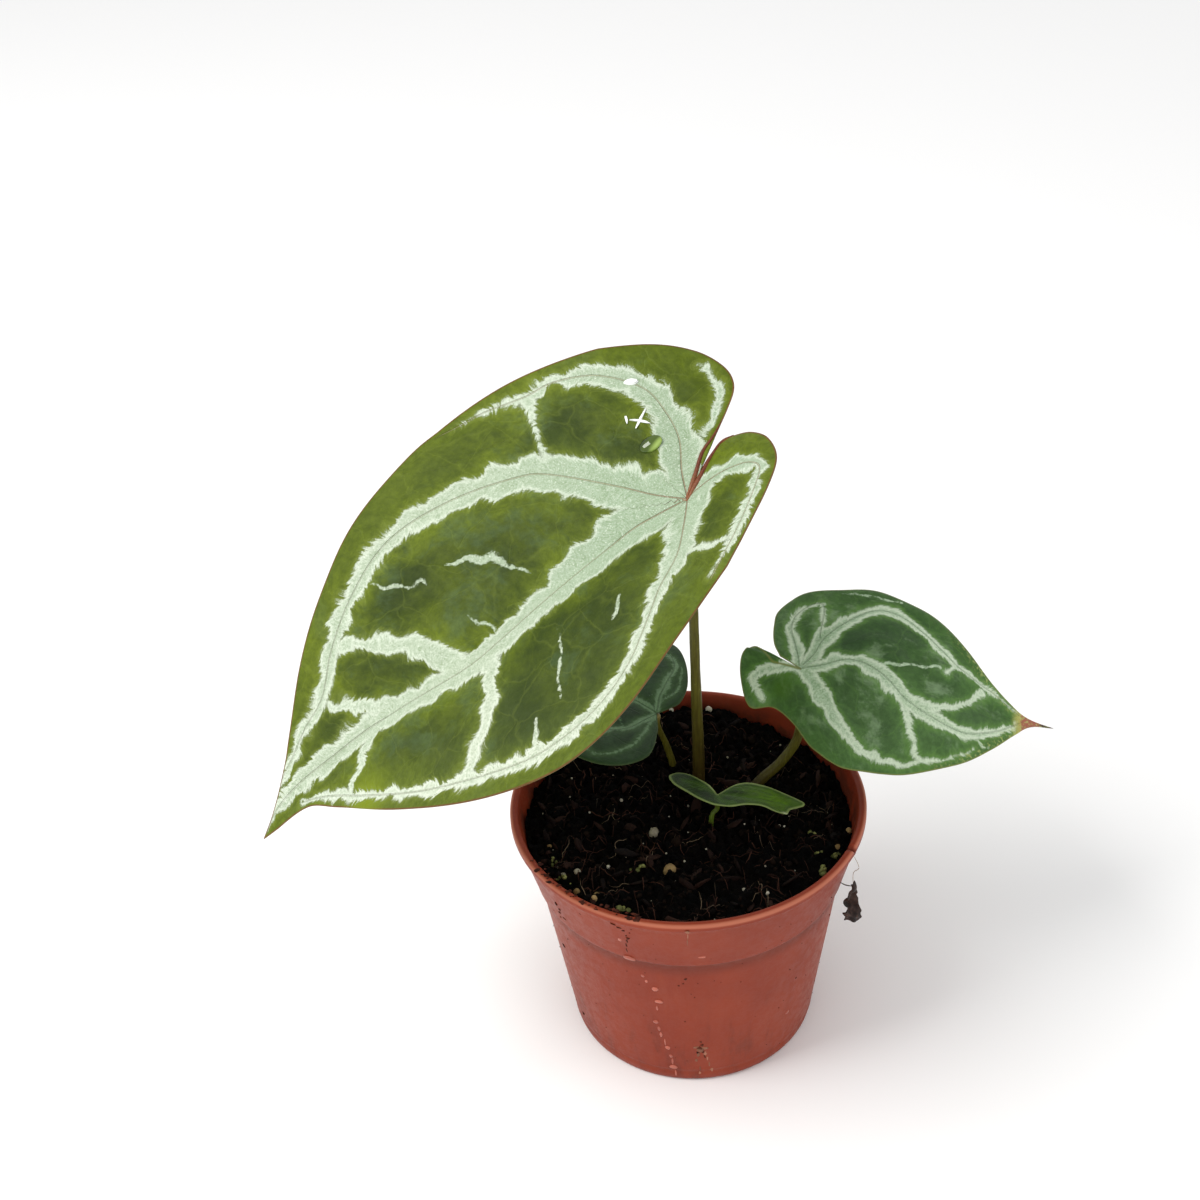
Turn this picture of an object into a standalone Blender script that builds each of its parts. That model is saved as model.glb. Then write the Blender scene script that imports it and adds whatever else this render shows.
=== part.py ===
"""A young Anthurium crystallinum in a round plastic nursery pot, built the way the plant grows.

Units are metres with +Z up. The origin is the middle of the pot's flat base, where it stands.
+X is to the right of the plant's front and -Y is the front. The pieces are the pot, the potting
mix, four leaf stalks, four leaf blades and a dried scrap of an old leaf that hangs on the rim.
Leaf outlines, vein lines and other small tables are in millimetres and scaled by MM.
"""

import math

import bmesh
import bpy
import numpy as np
from mathutils import Vector

MM = 0.001

# Driving dimensions of the pot
RIM_RADIUS = 45.0 * MM
POT_HEIGHT = 68.8 * MM
FOOT_RADIUS = 31.0 * MM
BODY_FOOT_RADIUS = 32.4 * MM
BODY_TOP_RADIUS = 39.0 * MM
COLLAR_FOOT_HEIGHT = 50.0 * MM
COLLAR_FOOT_RADIUS = 40.0 * MM
COLLAR_TOP_RADIUS = 44.1 * MM
LIP_DEPTH = 2.2 * MM
WALL = 1.1 * MM
FLOOR_THICKNESS = 2.0 * MM
RECESS_DEPTH = 0.8 * MM
CENTRE_PAD_RADIUS = 9.0 * MM
POT_SIDES = 56

DRAIN_HOLES = 8
DRAIN_HOLE_RADIUS = 3.2 * MM
DRAIN_CIRCLE_RADIUS = 22.0 * MM
DRAIN_HOLE_SIDES = 12

# Clearance that touching solids keep
GAP = 0.3 * MM

# Potting mix
SOIL_LEVEL = 62.6 * MM
SOIL_RINGS = 15
SOIL_SIDES = 56
STALK_DEPTH = 12.0 * MM
STALK_HOLE_SIDES = 12

# Leaf blades
BLADE_THICKNESS = 0.7 * MM
STALK_SIDES_RESOLUTION = 2
STALK_POINTS = 13

# Dried scrap, hanging at the right front of the rim
SCRAP_BEARING = -27.0
SCRAP_TOP = 58.0 * MM
SCRAP_LENGTH = 13.0 * MM
SCRAP_STANDOFF = 3.4 * MM
SCRAP_LEAN = 0.6 * MM
SCRAP_TWIST = 47.0
SCRAP_LEFT_EDGE = [-0.8, -1.6, -2.6, -2.0, -2.6, -2.0]
SCRAP_RIGHT_EDGE = [0.6, 0.9, 1.2, 1.4, 1.6, 1.6]
SCRAP_ROWS = 10
SCRAP_COLUMNS = 4


def clear_scene():
    """Remove every object that the start-up scene holds."""
    for old in list(bpy.data.objects):
        bpy.data.objects.remove(old, do_unlink=True)


def new_collection(name):
    """Make a collection in the scene."""
    made = bpy.data.collections.new(name)
    bpy.context.scene.collection.children.link(made)
    return made


def finish_of(name, colour, roughness, metallic=0.0):
    """Make a Principled material of one colour."""
    made = bpy.data.materials.new(name)
    made.use_nodes = True
    shader = made.node_tree.nodes["Principled BSDF"]
    shader.inputs["Base Color"].default_value = (*colour, 1.0)
    shader.inputs["Roughness"].default_value = roughness
    shader.inputs["Metallic"].default_value = metallic
    return made


def add_object(name, data, collection, finish=None):
    """Put mesh or curve data in the scene as one named object."""
    made = bpy.data.objects.new(name, data)
    collection.objects.link(made)
    if finish is not None:
        data.materials.append(finish)
    return made


def smooth_shading(thing, sharp_angle):
    """Shade smooth, with edges sharper than the angle left crisp."""
    thing.data.shade_smooth()
    thing.data.set_sharp_from_angle(angle=math.radians(sharp_angle))


def turned(name, profile, sides, collection, finish):
    """Turn a profile of (radius, height) points about Z with a Screw modifier."""
    mesh = bpy.data.meshes.new(name)
    points = [(radius, 0.0, height) for radius, height in profile]
    mesh.from_pydata(points, [(i, i + 1) for i in range(len(points) - 1)], [])
    made = add_object(name, mesh, collection, finish)
    screw = made.modifiers.new("turn", "SCREW")
    screw.axis = "Z"
    screw.steps = sides
    screw.render_steps = sides
    screw.use_merge_vertices = True
    screw.merge_threshold = 0.00005
    screw.use_smooth_shade = False
    return made


def applied(thing):
    """Replace an object's mesh with its evaluated mesh, modifiers included."""
    graph = bpy.context.evaluated_depsgraph_get()
    mesh = bpy.data.meshes.new_from_object(thing.evaluated_get(graph))
    thing.modifiers.clear()
    thing.data = mesh
    return thing


def cut(target, cutter):
    """Subtract the cutter from the target with an EXACT Boolean."""
    cutter.hide_render = True
    cutter.display_type = "WIRE"
    boolean = target.modifiers.new("cut_" + cutter.name, "BOOLEAN")
    boolean.operation = "DIFFERENCE"
    boolean.object = cutter


def inner_radius_at(height):
    """Radius of the pot's inside wall at a height, as straight tapers with a step under the collar."""
    stations = [FLOOR_THICKNESS, COLLAR_FOOT_HEIGHT - WALL, COLLAR_FOOT_HEIGHT + WALL, POT_HEIGHT]
    radii = [
        BODY_FOOT_RADIUS - WALL,
        BODY_TOP_RADIUS - WALL,
        COLLAR_FOOT_RADIUS - WALL,
        COLLAR_TOP_RADIUS - WALL,
    ]
    return float(np.interp(height, stations, radii))


def pot_profile():
    """The pot's section: up the inside, over the lip, down the outside and across the base."""
    lip_top = POT_HEIGHT
    lip_bottom = POT_HEIGHT - LIP_DEPTH
    inside = [
        (0.0, FLOOR_THICKNESS),
        (BODY_FOOT_RADIUS - WALL - 1.5 * MM, FLOOR_THICKNESS),
        (BODY_FOOT_RADIUS - WALL, FLOOR_THICKNESS + 1.5 * MM),
        (BODY_TOP_RADIUS - WALL, COLLAR_FOOT_HEIGHT - WALL),
        (COLLAR_FOOT_RADIUS - WALL, COLLAR_FOOT_HEIGHT + WALL),
        (COLLAR_TOP_RADIUS - WALL, lip_top - 0.4 * MM),
        (COLLAR_TOP_RADIUS - WALL + 0.4 * MM, lip_top),
    ]
    outside = [
        (RIM_RADIUS - 0.5 * MM, lip_top),
        (RIM_RADIUS, lip_top - 0.6 * MM),
        (RIM_RADIUS, lip_bottom + 0.4 * MM),
        (RIM_RADIUS - 0.5 * MM, lip_bottom),
        (COLLAR_TOP_RADIUS, lip_bottom - 0.2 * MM),
        (COLLAR_FOOT_RADIUS, COLLAR_FOOT_HEIGHT + 0.6 * MM),
        (COLLAR_FOOT_RADIUS - 0.4 * MM, COLLAR_FOOT_HEIGHT),
        (BODY_TOP_RADIUS, COLLAR_FOOT_HEIGHT - 0.4 * MM),
        (BODY_FOOT_RADIUS, 2.6 * MM),
        (BODY_FOOT_RADIUS - 0.5 * MM, 0.8 * MM),
        (FOOT_RADIUS, 0.0),
    ]
    base = [
        (FOOT_RADIUS - 4.0 * MM, 0.0),
        (FOOT_RADIUS - 4.8 * MM, RECESS_DEPTH),
        (CENTRE_PAD_RADIUS + 0.8 * MM, RECESS_DEPTH),
        (CENTRE_PAD_RADIUS, 0.0),
        (0.0, 0.0),
    ]
    return inside + outside + base


def ring_of_cylinders(name, places, radius, bottom, top, sides, collection):
    """One mesh of upright cylinders at the given (x, y) places, used to cut holes."""
    shape = bmesh.new()
    for x, y in places:
        made = bmesh.ops.create_cone(
            shape, cap_ends=True, segments=sides, radius1=radius, radius2=radius, depth=top - bottom
        )
        bmesh.ops.translate(shape, verts=made["verts"], vec=(x, y, (top + bottom) / 2))
    mesh = bpy.data.meshes.new(name)
    shape.to_mesh(mesh)
    shape.free()
    return add_object(name, mesh, collection)


def build_pot(parts, cutters, finish):
    """The nursery pot: a tapered cup with a wide collar, a rolled lip and eight drain holes."""
    pot = turned("pot", pot_profile(), POT_SIDES, parts, finish)
    turns = [2 * math.pi * (i + 0.5) / DRAIN_HOLES for i in range(DRAIN_HOLES)]
    places = [(DRAIN_CIRCLE_RADIUS * math.cos(a), DRAIN_CIRCLE_RADIUS * math.sin(a)) for a in turns]
    holes = ring_of_cylinders(
        "drain_hole_cutter", places, DRAIN_HOLE_RADIUS, -2 * MM, 6 * MM, DRAIN_HOLE_SIDES, cutters
    )
    cut(applied(pot), holes)
    return pot


def soil_height(x, y):
    """Height of the mix's surface: a level with two broad mounds, a dip and crumbs as crossed waves."""
    level = SOIL_LEVEL + 3.2 * MM * np.exp(-((x - 4 * MM) ** 2 + (y - 36 * MM) ** 2) / (13 * MM) ** 2)
    level = level + 1.4 * MM * np.exp(-((x + 22 * MM) ** 2 + (y + 8 * MM) ** 2) / (14 * MM) ** 2)
    level = level - 1.8 * MM * np.exp(-((x - 38 * MM) ** 2 + (y - 2 * MM) ** 2) / (10 * MM) ** 2)
    u, v = x / MM, y / MM
    crumbs = np.sin(0.93 * u + 1.7 * np.sin(0.41 * v)) * np.sin(0.88 * v + 1.3 * np.sin(0.52 * u + 1.0))
    lumps = np.sin(0.37 * u - 0.22 * v + 0.8) * np.sin(0.31 * v + 0.17 * u)
    return level + 0.55 * MM * crumbs + 0.7 * MM * lumps


def build_soil(stalks, parts, cutters, finish):
    """The potting mix: a plug that fills the pot, with a crumbly top and a plain hole for each stalk."""
    wall_gap = GAP + 0.25 * MM
    bottom = FLOOR_THICKNESS + GAP
    edge_height = SOIL_LEVEL - 0.6 * MM
    edge_radius = inner_radius_at(edge_height) - wall_gap
    side = [
        (edge_radius, edge_height),
        (inner_radius_at(COLLAR_FOOT_HEIGHT + WALL) - wall_gap, COLLAR_FOOT_HEIGHT + WALL + GAP),
        (BODY_TOP_RADIUS - WALL - wall_gap, COLLAR_FOOT_HEIGHT - WALL - GAP),
        (BODY_FOOT_RADIUS - WALL - wall_gap, bottom + 1.7 * MM),
        (BODY_FOOT_RADIUS - WALL - wall_gap - 1.5 * MM, bottom),
        (0.0, bottom),
    ]
    top = [(edge_radius * i / SOIL_RINGS, SOIL_LEVEL) for i in range(SOIL_RINGS)]
    soil = applied(turned("soil", top + side, SOIL_SIDES, parts, finish))
    count = len(soil.data.vertices)
    points = np.empty(count * 3)
    soil.data.vertices.foreach_get("co", points)
    points = points.reshape(-1, 3)
    on_top = np.abs(points[:, 2] - SOIL_LEVEL) < 0.01 * MM
    radius = np.hypot(points[:, 0], points[:, 1]) / edge_radius
    fade = np.clip((1.0 - radius) / 0.12, 0, 1)
    raised = soil_height(points[:, 0], points[:, 1])
    points[:, 2] = np.where(on_top, edge_height + (raised - edge_height) * fade, points[:, 2])
    soil.data.vertices.foreach_set("co", points.ravel())
    soil.data.update()
    for stalk in stalks:
        x, y = stalk["foot"]
        hole = ring_of_cylinders(
            stalk["name"] + "_hole_cutter",
            [(x, y)],
            stalk["hole_radius"] * MM,
            SOIL_LEVEL - STALK_DEPTH - GAP,
            SOIL_LEVEL + 12 * MM,
            STALK_HOLE_SIDES,
            cutters,
        )
        cut(soil, hole)
    return soil


def eased(u, values):
    """Value along evenly spaced stations for u from 0 to 1, eased from each station to the next."""
    last = len(values) - 1
    place = np.clip(np.asarray(u, float), 0, 1) * last
    low = np.minimum(place.astype(int), last - 1)
    part = place - low
    ease = part * part * (3 - 2 * part)
    table = np.array(values, float)
    return table[low] * (1 - ease) + table[low + 1] * ease


def smooth_line(points, count):
    """A Catmull-Rom curve through the points, read at count places even along its length."""
    knots = np.array(points, float)
    ends = np.vstack([2 * knots[0] - knots[1], knots, 2 * knots[-1] - knots[-2]])
    share = np.linspace(0, 1, 12, endpoint=False)[:, None]
    spans = []
    for a, b, c, d in zip(ends[:-3], ends[1:-2], ends[2:-1], ends[3:]):
        cubic = (3 * (b - c) + d - a) * share**3 + (2 * a - 5 * b + 4 * c - d) * share**2
        spans.append(b + 0.5 * ((c - a) * share + cubic))
    line = np.vstack([*spans, knots[-1:]])
    length = np.concatenate([[0], np.cumsum(np.linalg.norm(np.diff(line, axis=0), axis=1))])
    even = np.linspace(0, length[-1], count)
    return np.stack([np.interp(even, length, line[:, k]) for k in range(line.shape[1])], axis=1)


def rib_frame(leaf, along):
    """Points on the midrib with the across and up directions there, for places along it in metres.

    The midrib leaves the stalk on its compass heading. Its dip below level follows the leaf's
    stations, and is summed over short steps. Behind the stalk it runs on straight.
    """
    length = leaf["length"] * MM
    steps = np.linspace(-0.7, 1.1, 541) * length
    dip = np.radians(eased(steps / length, leaf["dip"]))
    stride = steps[1] - steps[0]
    level = np.concatenate([[0], np.cumsum((np.cos(dip[1:]) + np.cos(dip[:-1])) / 2 * stride)])
    drop = np.concatenate([[0], np.cumsum((np.sin(dip[1:]) + np.sin(dip[:-1])) / 2 * stride)])
    level -= np.interp(0, steps, level)
    drop -= np.interp(0, steps, drop)
    heading = math.radians(leaf["heading"])
    ahead = np.array([math.cos(heading), math.sin(heading), 0.0])
    left = np.array([-ahead[1], ahead[0], 0.0])
    up = np.array([0.0, 0.0, 1.0])
    here = np.radians(eased(along / length, leaf["dip"]))[..., None]
    roll = np.radians(eased(along / length, leaf["roll"]))[..., None]
    raised = np.sin(here) * ahead + np.cos(here) * up
    across = np.cos(roll) * left + np.sin(roll) * raised
    normal = -np.sin(roll) * left + np.cos(roll) * raised
    joint = np.array(leaf["joint"]) * MM
    centre = joint + np.interp(along, steps, level)[..., None] * ahead
    centre = centre - np.interp(along, steps, drop)[..., None] * up
    return centre, across, normal


def lobe_share(leaf, along):
    """0 ahead of the stalk, rising to 1 at the back of the lobes."""
    return np.clip(-along / (leaf["lobe_length"] * MM), 0, 1.3)


def channel_depth(leaf, along, across):
    """How far the blade sinks along its main veins: a bell of the distance to each vein's line."""
    sunk = np.zeros_like(along)
    for line in leaf["veins"]:
        path = smooth_line(line, 14) * MM
        for start, end in zip(path[:-1], path[1:]):
            step = end - start
            reach = ((along - start[0]) * step[0] + (across - start[1]) * step[1]) / (step @ step)
            reach = np.clip(reach, 0, 1)
            apart = np.hypot(along - start[0] - reach * step[0], across - start[1] - reach * step[1])
            sunk = np.maximum(sunk, np.exp(-((apart / (leaf["channel_width"] * MM)) ** 2)))
    return sunk * leaf["channel_depth"] * MM


def blade_surface(leaf, along, across):
    """The blade's mid-surface: each half leaves the midrib at its fold angle and curls as it goes out.

    Behind the stalk the halves meet on the line of the sinus between the lobes instead. A wave runs
    along the margin, and each lobe lifts or drops as it goes back.
    """
    length = leaf["length"] * MM
    centre, side, normal = rib_frame(leaf, along)
    share = along / length
    sinus = leaf["sinus_slope"] * np.minimum(along, 0)
    bent = across - sinus
    left_half = bent > 0
    fold = np.where(left_half, eased(share, leaf["fold_left"]), eased(share, leaf["fold_right"]))
    curl = np.where(left_half, eased(share, leaf["curl_left"]), eased(share, leaf["curl_right"]))
    fold, curl = np.radians(fold), np.radians(curl)
    out = np.abs(bent)
    reach = out / (leaf["half_width"] * MM)
    height = out * np.sin(fold) + curl * out * reach / 2
    waves = leaf["wave"] * MM * np.sin(leaf["waves"] * math.pi * share + np.where(left_half, 0.6, 2.1))
    height = height + waves * reach**2
    lobe_lift = np.where(left_half, leaf["lobe_lift_left"], leaf["lobe_lift_right"]) * MM
    height = height + lobe_lift * lobe_share(leaf, along) ** 1.2
    height = height - channel_depth(leaf, along, across)
    spread = bent * np.cos(fold) + sinus
    return centre + spread[..., None] * side + height[..., None] * normal


def half_grid(leaf, outline, rows, columns):
    """(along, across) of a half blade's grid, in metres.

    Each row runs from a foot to the margin. The foot stays at the stalk joint round the lobe and
    then walks down the midrib to the tip.
    """
    edge = smooth_line(outline, rows + 1) * MM
    step = np.linspace(0, 1, rows + 1)
    walk = np.clip((step - leaf["lobe_rows"]) / (1 - leaf["lobe_rows"]), 0, 1)
    foot_along = leaf["length"] * MM * (1 - (1 - walk) ** 1.15) ** 1.25
    foot = np.stack([foot_along, np.zeros(rows + 1)], axis=1)
    share = np.linspace(0, 1, columns + 1)[None, :, None]
    return foot[:, None, :] * (1 - share) + edge[:, None, :] * share


def blade_mesh(leaf, rows, columns):
    """The blade as one triangulated sheet: two half grids that share the midrib, the joint and the tip."""
    shape = bmesh.new()
    known = {}

    def vertex(place, point):
        key = (round(float(place[0]) * 1e7), round(float(place[1]) * 1e7))
        if key not in known:
            known[key] = shape.verts.new(point)
        return known[key]

    for outline, turn_round in ((leaf["outline_left"], False), (leaf["outline_right"], True)):
        grid = half_grid(leaf, outline, rows, columns)
        points = blade_surface(leaf, grid[..., 0], grid[..., 1])
        verts = [[vertex(grid[i, j], points[i, j]) for j in range(columns + 1)] for i in range(rows + 1)]
        for i in range(rows):
            for j in range(columns):
                ring = [verts[i][j], verts[i][j + 1], verts[i + 1][j + 1], verts[i + 1][j]]
                corners = [v for k, v in enumerate(ring) if v not in ring[:k]]
                if len(corners) > 2:
                    shape.faces.new(corners[::-1] if turn_round else corners)
    bmesh.ops.triangulate(shape, faces=shape.faces[:])
    mesh = bpy.data.meshes.new(leaf["name"])
    shape.normal_update()
    up = sum((f.normal * f.calc_area() for f in shape.faces), Vector())
    if up.z < 0:
        bmesh.ops.reverse_faces(shape, faces=shape.faces[:])
    shape.to_mesh(mesh)
    shape.free()
    return mesh


def build_blade(leaf, parts, finish):
    """A leaf blade: the sheet given its thickness."""
    blade = add_object(leaf["name"], blade_mesh(leaf, leaf["rows"], leaf["columns"]), parts, finish)
    solid = blade.modifiers.new("thickness", "SOLIDIFY")
    solid.thickness = BLADE_THICKNESS
    solid.offset = 0.0
    blade.data.shade_smooth()
    return blade


def stalk_path(stalk, leaf):
    """Centre line of a leaf stalk: one smooth line from in the mix to just under the blade's joint."""
    foot = Vector((*stalk["foot"], SOIL_LEVEL - STALK_DEPTH))
    joint, _, normal = rib_frame(leaf, np.array(0.0))
    joint, normal = Vector(joint), Vector(normal)
    arrival = (normal + Vector((0, 0, 1))).normalized()
    lean = stalk["radius_head"] * MM * math.sin(arrival.angle(normal))
    sunk = channel_depth(leaf, np.zeros(1), np.zeros(1))[0]
    head = joint - normal * (BLADE_THICKNESS / 2 + sunk + GAP + lean)
    knots = [foot, foot + Vector((0, 0, STALK_DEPTH - 0.6 * MM))]
    knots += [Vector(p) * MM for p in stalk["through"]]
    knots += [head - arrival * 3.5 * MM, head]
    return smooth_line([tuple(k) for k in knots], STALK_POINTS)


def build_stalk(stalk, leaf, parts, finish):
    """A leaf stalk: a tapering tube that swells a little at the joint under the blade."""
    path = stalk_path(stalk, leaf)
    curve = bpy.data.curves.new(stalk["name"], "CURVE")
    curve.dimensions = "3D"
    curve.bevel_depth = 1.0
    curve.bevel_resolution = STALK_SIDES_RESOLUTION
    curve.use_fill_caps = True
    spline = curve.splines.new("POLY")
    spline.points.add(len(path) - 1)
    share = np.linspace(0, 1, len(path))
    radii = stalk["radius_foot"] + (stalk["radius_head"] - stalk["radius_foot"]) * share
    swelling = 1 + 0.12 * np.exp(-(((share - 0.94) / 0.05) ** 2))
    for point, place, radius in zip(spline.points, path, radii * swelling * MM):
        point.co = (*place, 1.0)
        point.radius = radius
    made = add_object(stalk["name"], curve, parts, finish)
    return made


def build_scrap(parts, finish):
    """The dried scrap: a thin crumpled strip with a short stub that meets the pot's collar."""
    ahead = math.radians(SCRAP_BEARING)
    outward = np.array([math.cos(ahead), math.sin(ahead), 0.0])
    twist = math.radians(SCRAP_TWIST)
    sideways = np.array([-outward[1], outward[0], 0.0]) * math.cos(twist) + outward * math.sin(twist)
    facing = np.cross(sideways, [0.0, 0.0, 1.0])
    stub_height = SCRAP_TOP - 1.0 * MM
    collar = np.interp(
        stub_height, [COLLAR_FOOT_HEIGHT, POT_HEIGHT - LIP_DEPTH], [COLLAR_FOOT_RADIUS, COLLAR_TOP_RADIUS]
    )
    drop = np.linspace(0, 1, SCRAP_ROWS + 1)
    left = np.array([eased(d, SCRAP_LEFT_EDGE) for d in drop]) * MM
    right = np.array([eased(d, SCRAP_RIGHT_EDGE) for d in drop]) * MM
    share = np.linspace(0, 1, SCRAP_COLUMNS + 1)
    shape = bmesh.new()
    verts = []
    for i, d in enumerate(drop):
        row = []
        for s in share:
            offset = left[i] + (right[i] - left[i]) * s
            buckle = 0.7 * MM * math.sin(4.0 * s + 5.0 * d) + 0.5 * MM * math.sin(11 * d)
            place = outward * (collar + SCRAP_STANDOFF + SCRAP_LEAN * d) + facing * buckle + sideways * offset
            place = place + np.array([0, 0, SCRAP_TOP - SCRAP_LENGTH * d])
            row.append(shape.verts.new(place))
        verts.append(row)
    for i in range(SCRAP_ROWS):
        for j in range(SCRAP_COLUMNS):
            shape.faces.new([verts[i][j], verts[i + 1][j], verts[i + 1][j + 1], verts[i][j + 1]])
    bmesh.ops.triangulate(shape, faces=shape.faces[:])
    mesh = bpy.data.meshes.new("dried_leaf_scrap")
    shape.to_mesh(mesh)
    shape.free()
    scrap = add_object("dried_leaf_scrap", mesh, parts, finish)
    solid = scrap.modifiers.new("thickness", "SOLIDIFY")
    solid.thickness = BLADE_THICKNESS
    solid.offset = 0.0
    applied(scrap)
    shape = bmesh.new()
    made = bmesh.ops.create_cone(
        shape, cap_ends=True, segments=8, radius1=0.45 * MM, radius2=0.45 * MM, depth=SCRAP_STANDOFF + 0.6 * MM
    )
    turn = Vector((0, 0, 1)).rotation_difference(Vector(outward)).to_matrix()
    bmesh.ops.rotate(shape, verts=made["verts"], matrix=turn)
    middle = outward * (collar + GAP + 0.2 * MM + (SCRAP_STANDOFF + 0.6 * MM) / 2)
    bmesh.ops.translate(shape, verts=made["verts"], vec=(middle[0], middle[1], stub_height))
    mesh = bpy.data.meshes.new("scrap_stub")
    shape.to_mesh(mesh)
    shape.free()
    stub = add_object("scrap_stub", mesh, parts)
    join = scrap.modifiers.new("stub", "BOOLEAN")
    join.operation = "UNION"
    join.object = stub
    applied(scrap)
    bpy.data.objects.remove(stub, do_unlink=True)
    return scrap


# Each leaf: where its blade meets the stalk, its compass heading (0 is +X, 90 is +Y), and how it
# dips, rolls, folds and curls in degrees at even stations from the joint to the tip. Outlines are
# (along the midrib, across) and run from the back corner of the lobe to the tip. Left is to the
# left of someone who looks along the midrib from the stalk.
LARGE_LEAF = {
    "name": "large_leaf_blade",
    "joint": (2.1, 5.0, 155.4),
    "length": 132.0,
    "heading": 196.0,
    "dip": [25, 28, 32, 36, 40, 46],
    "roll": [-14, -14],
    "fold_left": [15, 14, 12, 8],
    "fold_right": [13, 14, 13, 8],
    "curl_left": [6, 0],
    "curl_right": [4, 0],
    "half_width": 52.0,
    "wave": 1.0,
    "waves": 3.2,
    "lobe_length": 23.0,
    "lobe_lift_left": -1.6,
    "lobe_lift_right": 0.9,
    "sinus_slope": 0.80,
    "lobe_rows": 0.24,
    "outline_left": [
        (-10.5, -8), (-13.8, -9.6), (-17.2, -8.2), (-20.6, -5), (-22.8, 1), (-21.9, 9.2), (-17, 16),
        (-8, 24.3), (2, 32.9), (16, 44), (31, 53.5), (45, 56.5), (58, 53.5), (74, 44.5), (92, 29.5),
        (108, 12.5), (117, 4), (132, 0),
    ],
    "outline_right": [
        (-8.5, -9.2), (-13, -11.6), (-18.6, -16), (-23, -21), (-23.2, -27), (-19, -34.5),
        (-10, -41.3), (7, -47.6), (24, -51.7), (41, -52), (57, -49.2), (72, -44.5), (87, -36.2),
        (100, -26.5), (112, -15), (121, -6.5), (132, 0),
    ],
    "veins": [
        [(0, 0), (45, 0), (90, 0), (126, 0)],
        [(0, 0), (9, 17), (18, 29), (34, 43), (52, 46), (74, 38), (97, 22), (112, 8)],
        [(0, 0), (9, -7), (25, -25), (44, -34), (66, -35), (84, -29), (98, -18), (113, -10)],
        [(0, 0), (-6, -13), (-6, -24), (2, -38), (19, -46), (41, -51)],
        [(0, 0), (-9, -1), (-18, 3), (-13, 12), (-3, 23)],
    ],
    "channel_width": 4.0,
    "channel_depth": 0.5,
    "rows": 38,
    "columns": 9,
}

RIGHT_LEAF = {
    "name": "right_leaf_blade",
    "joint": (28.9, 12.3, 100.0),
    "length": 69.5,
    "heading": -1.5,
    "dip": [-16, 4, 24, 34, 30, 14],
    "roll": [16, 18, 18],
    "fold_left": [-3, -3, 6, 10],
    "fold_right": [-12, -10, 2, 8],
    "curl_left": [-10, -12],
    "curl_right": [-16, -8],
    "half_width": 27.0,
    "wave": 0.8,
    "waves": 2.6,
    "lobe_length": 15.0,
    "lobe_lift_left": 0.0,
    "lobe_lift_right": 1.0,
    "sinus_slope": -0.80,
    "lobe_rows": 0.27,
    "outline_left": [
        (-4.6, 5.2), (-5.7, 10), (-5.2, 16), (-3.5, 21), (2.5, 25), (11, 25), (21, 25.7),
        (32, 22.6), (42, 15), (52, 7.2), (58, 3.7), (62.5, 1.9), (69.5, 0.8),
    ],
    "outline_right": [
        (-6.5, 3.8), (-9, 8.8), (-11.2, 10.2), (-14.2, 8), (-15.5, 2), (-14.6, -5.5), (-8.7, -7.7),
        (-4.5, -13), (-0.5, -21), (6, -25.4), (20, -26.7), (34, -25.4), (44, -20.5), (53, -11.6),
        (59, -4.6), (63.5, -0.2), (69.5, 0.8),
    ],
    "veins": [
        [(0, 0), (20, 0), (40, 0), (58, 0)],
        [(0, 0), (6, 13), (16, 20), (28, 19), (39, 13), (49, 6)],
        [(0, 0), (4, -9), (11, -19), (22, -23), (36, -20)],
    ],
    "channel_width": 2.2,
    "channel_depth": 0.35,
    "rows": 30,
    "columns": 7,
}

BACK_LEAF = {
    "name": "back_leaf_blade",
    "joint": (-7.1, 17.5, 83.0),
    "length": 46.0,
    "heading": 140.0,
    "dip": [-6, 2, 10, 18],
    "roll": [-4, -4],
    "fold_left": [8, 8, 4],
    "fold_right": [8, 8, 4],
    "curl_left": [-8, -8],
    "curl_right": [-8, -8],
    "half_width": 24.0,
    "wave": 0.5,
    "waves": 2.8,
    "lobe_length": 9.0,
    "lobe_lift_left": 0.3,
    "lobe_lift_right": 0.3,
    "sinus_slope": 0.0,
    "lobe_rows": 0.22,
    "outline_left": [
        (-4.5, 5), (-8, 11), (-8.8, 15.5), (-6, 21), (0, 25.3), (8, 26.5), (18, 22.5), (28, 14.5),
        (37, 6.5), (46, 0),
    ],
    "outline_right": [
        (-1.5, -2.5), (-2.8, -6), (-0.5, -12), (5.5, -18.5), (12, -22), (20, -20.5), (29, -13.5),
        (37, -6.5), (46, 0),
    ],
    "veins": [
        [(0, 0), (15, 0), (30, 0), (42, 0)],
        [(0, 0), (3, 10), (11, 16), (22, 13), (32, 7)],
        [(0, 0), (3, -10), (11, -15), (22, -12), (32, -6)],
    ],
    "channel_width": 2.0,
    "channel_depth": 0.3,
    "rows": 18,
    "columns": 5,
}

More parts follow.
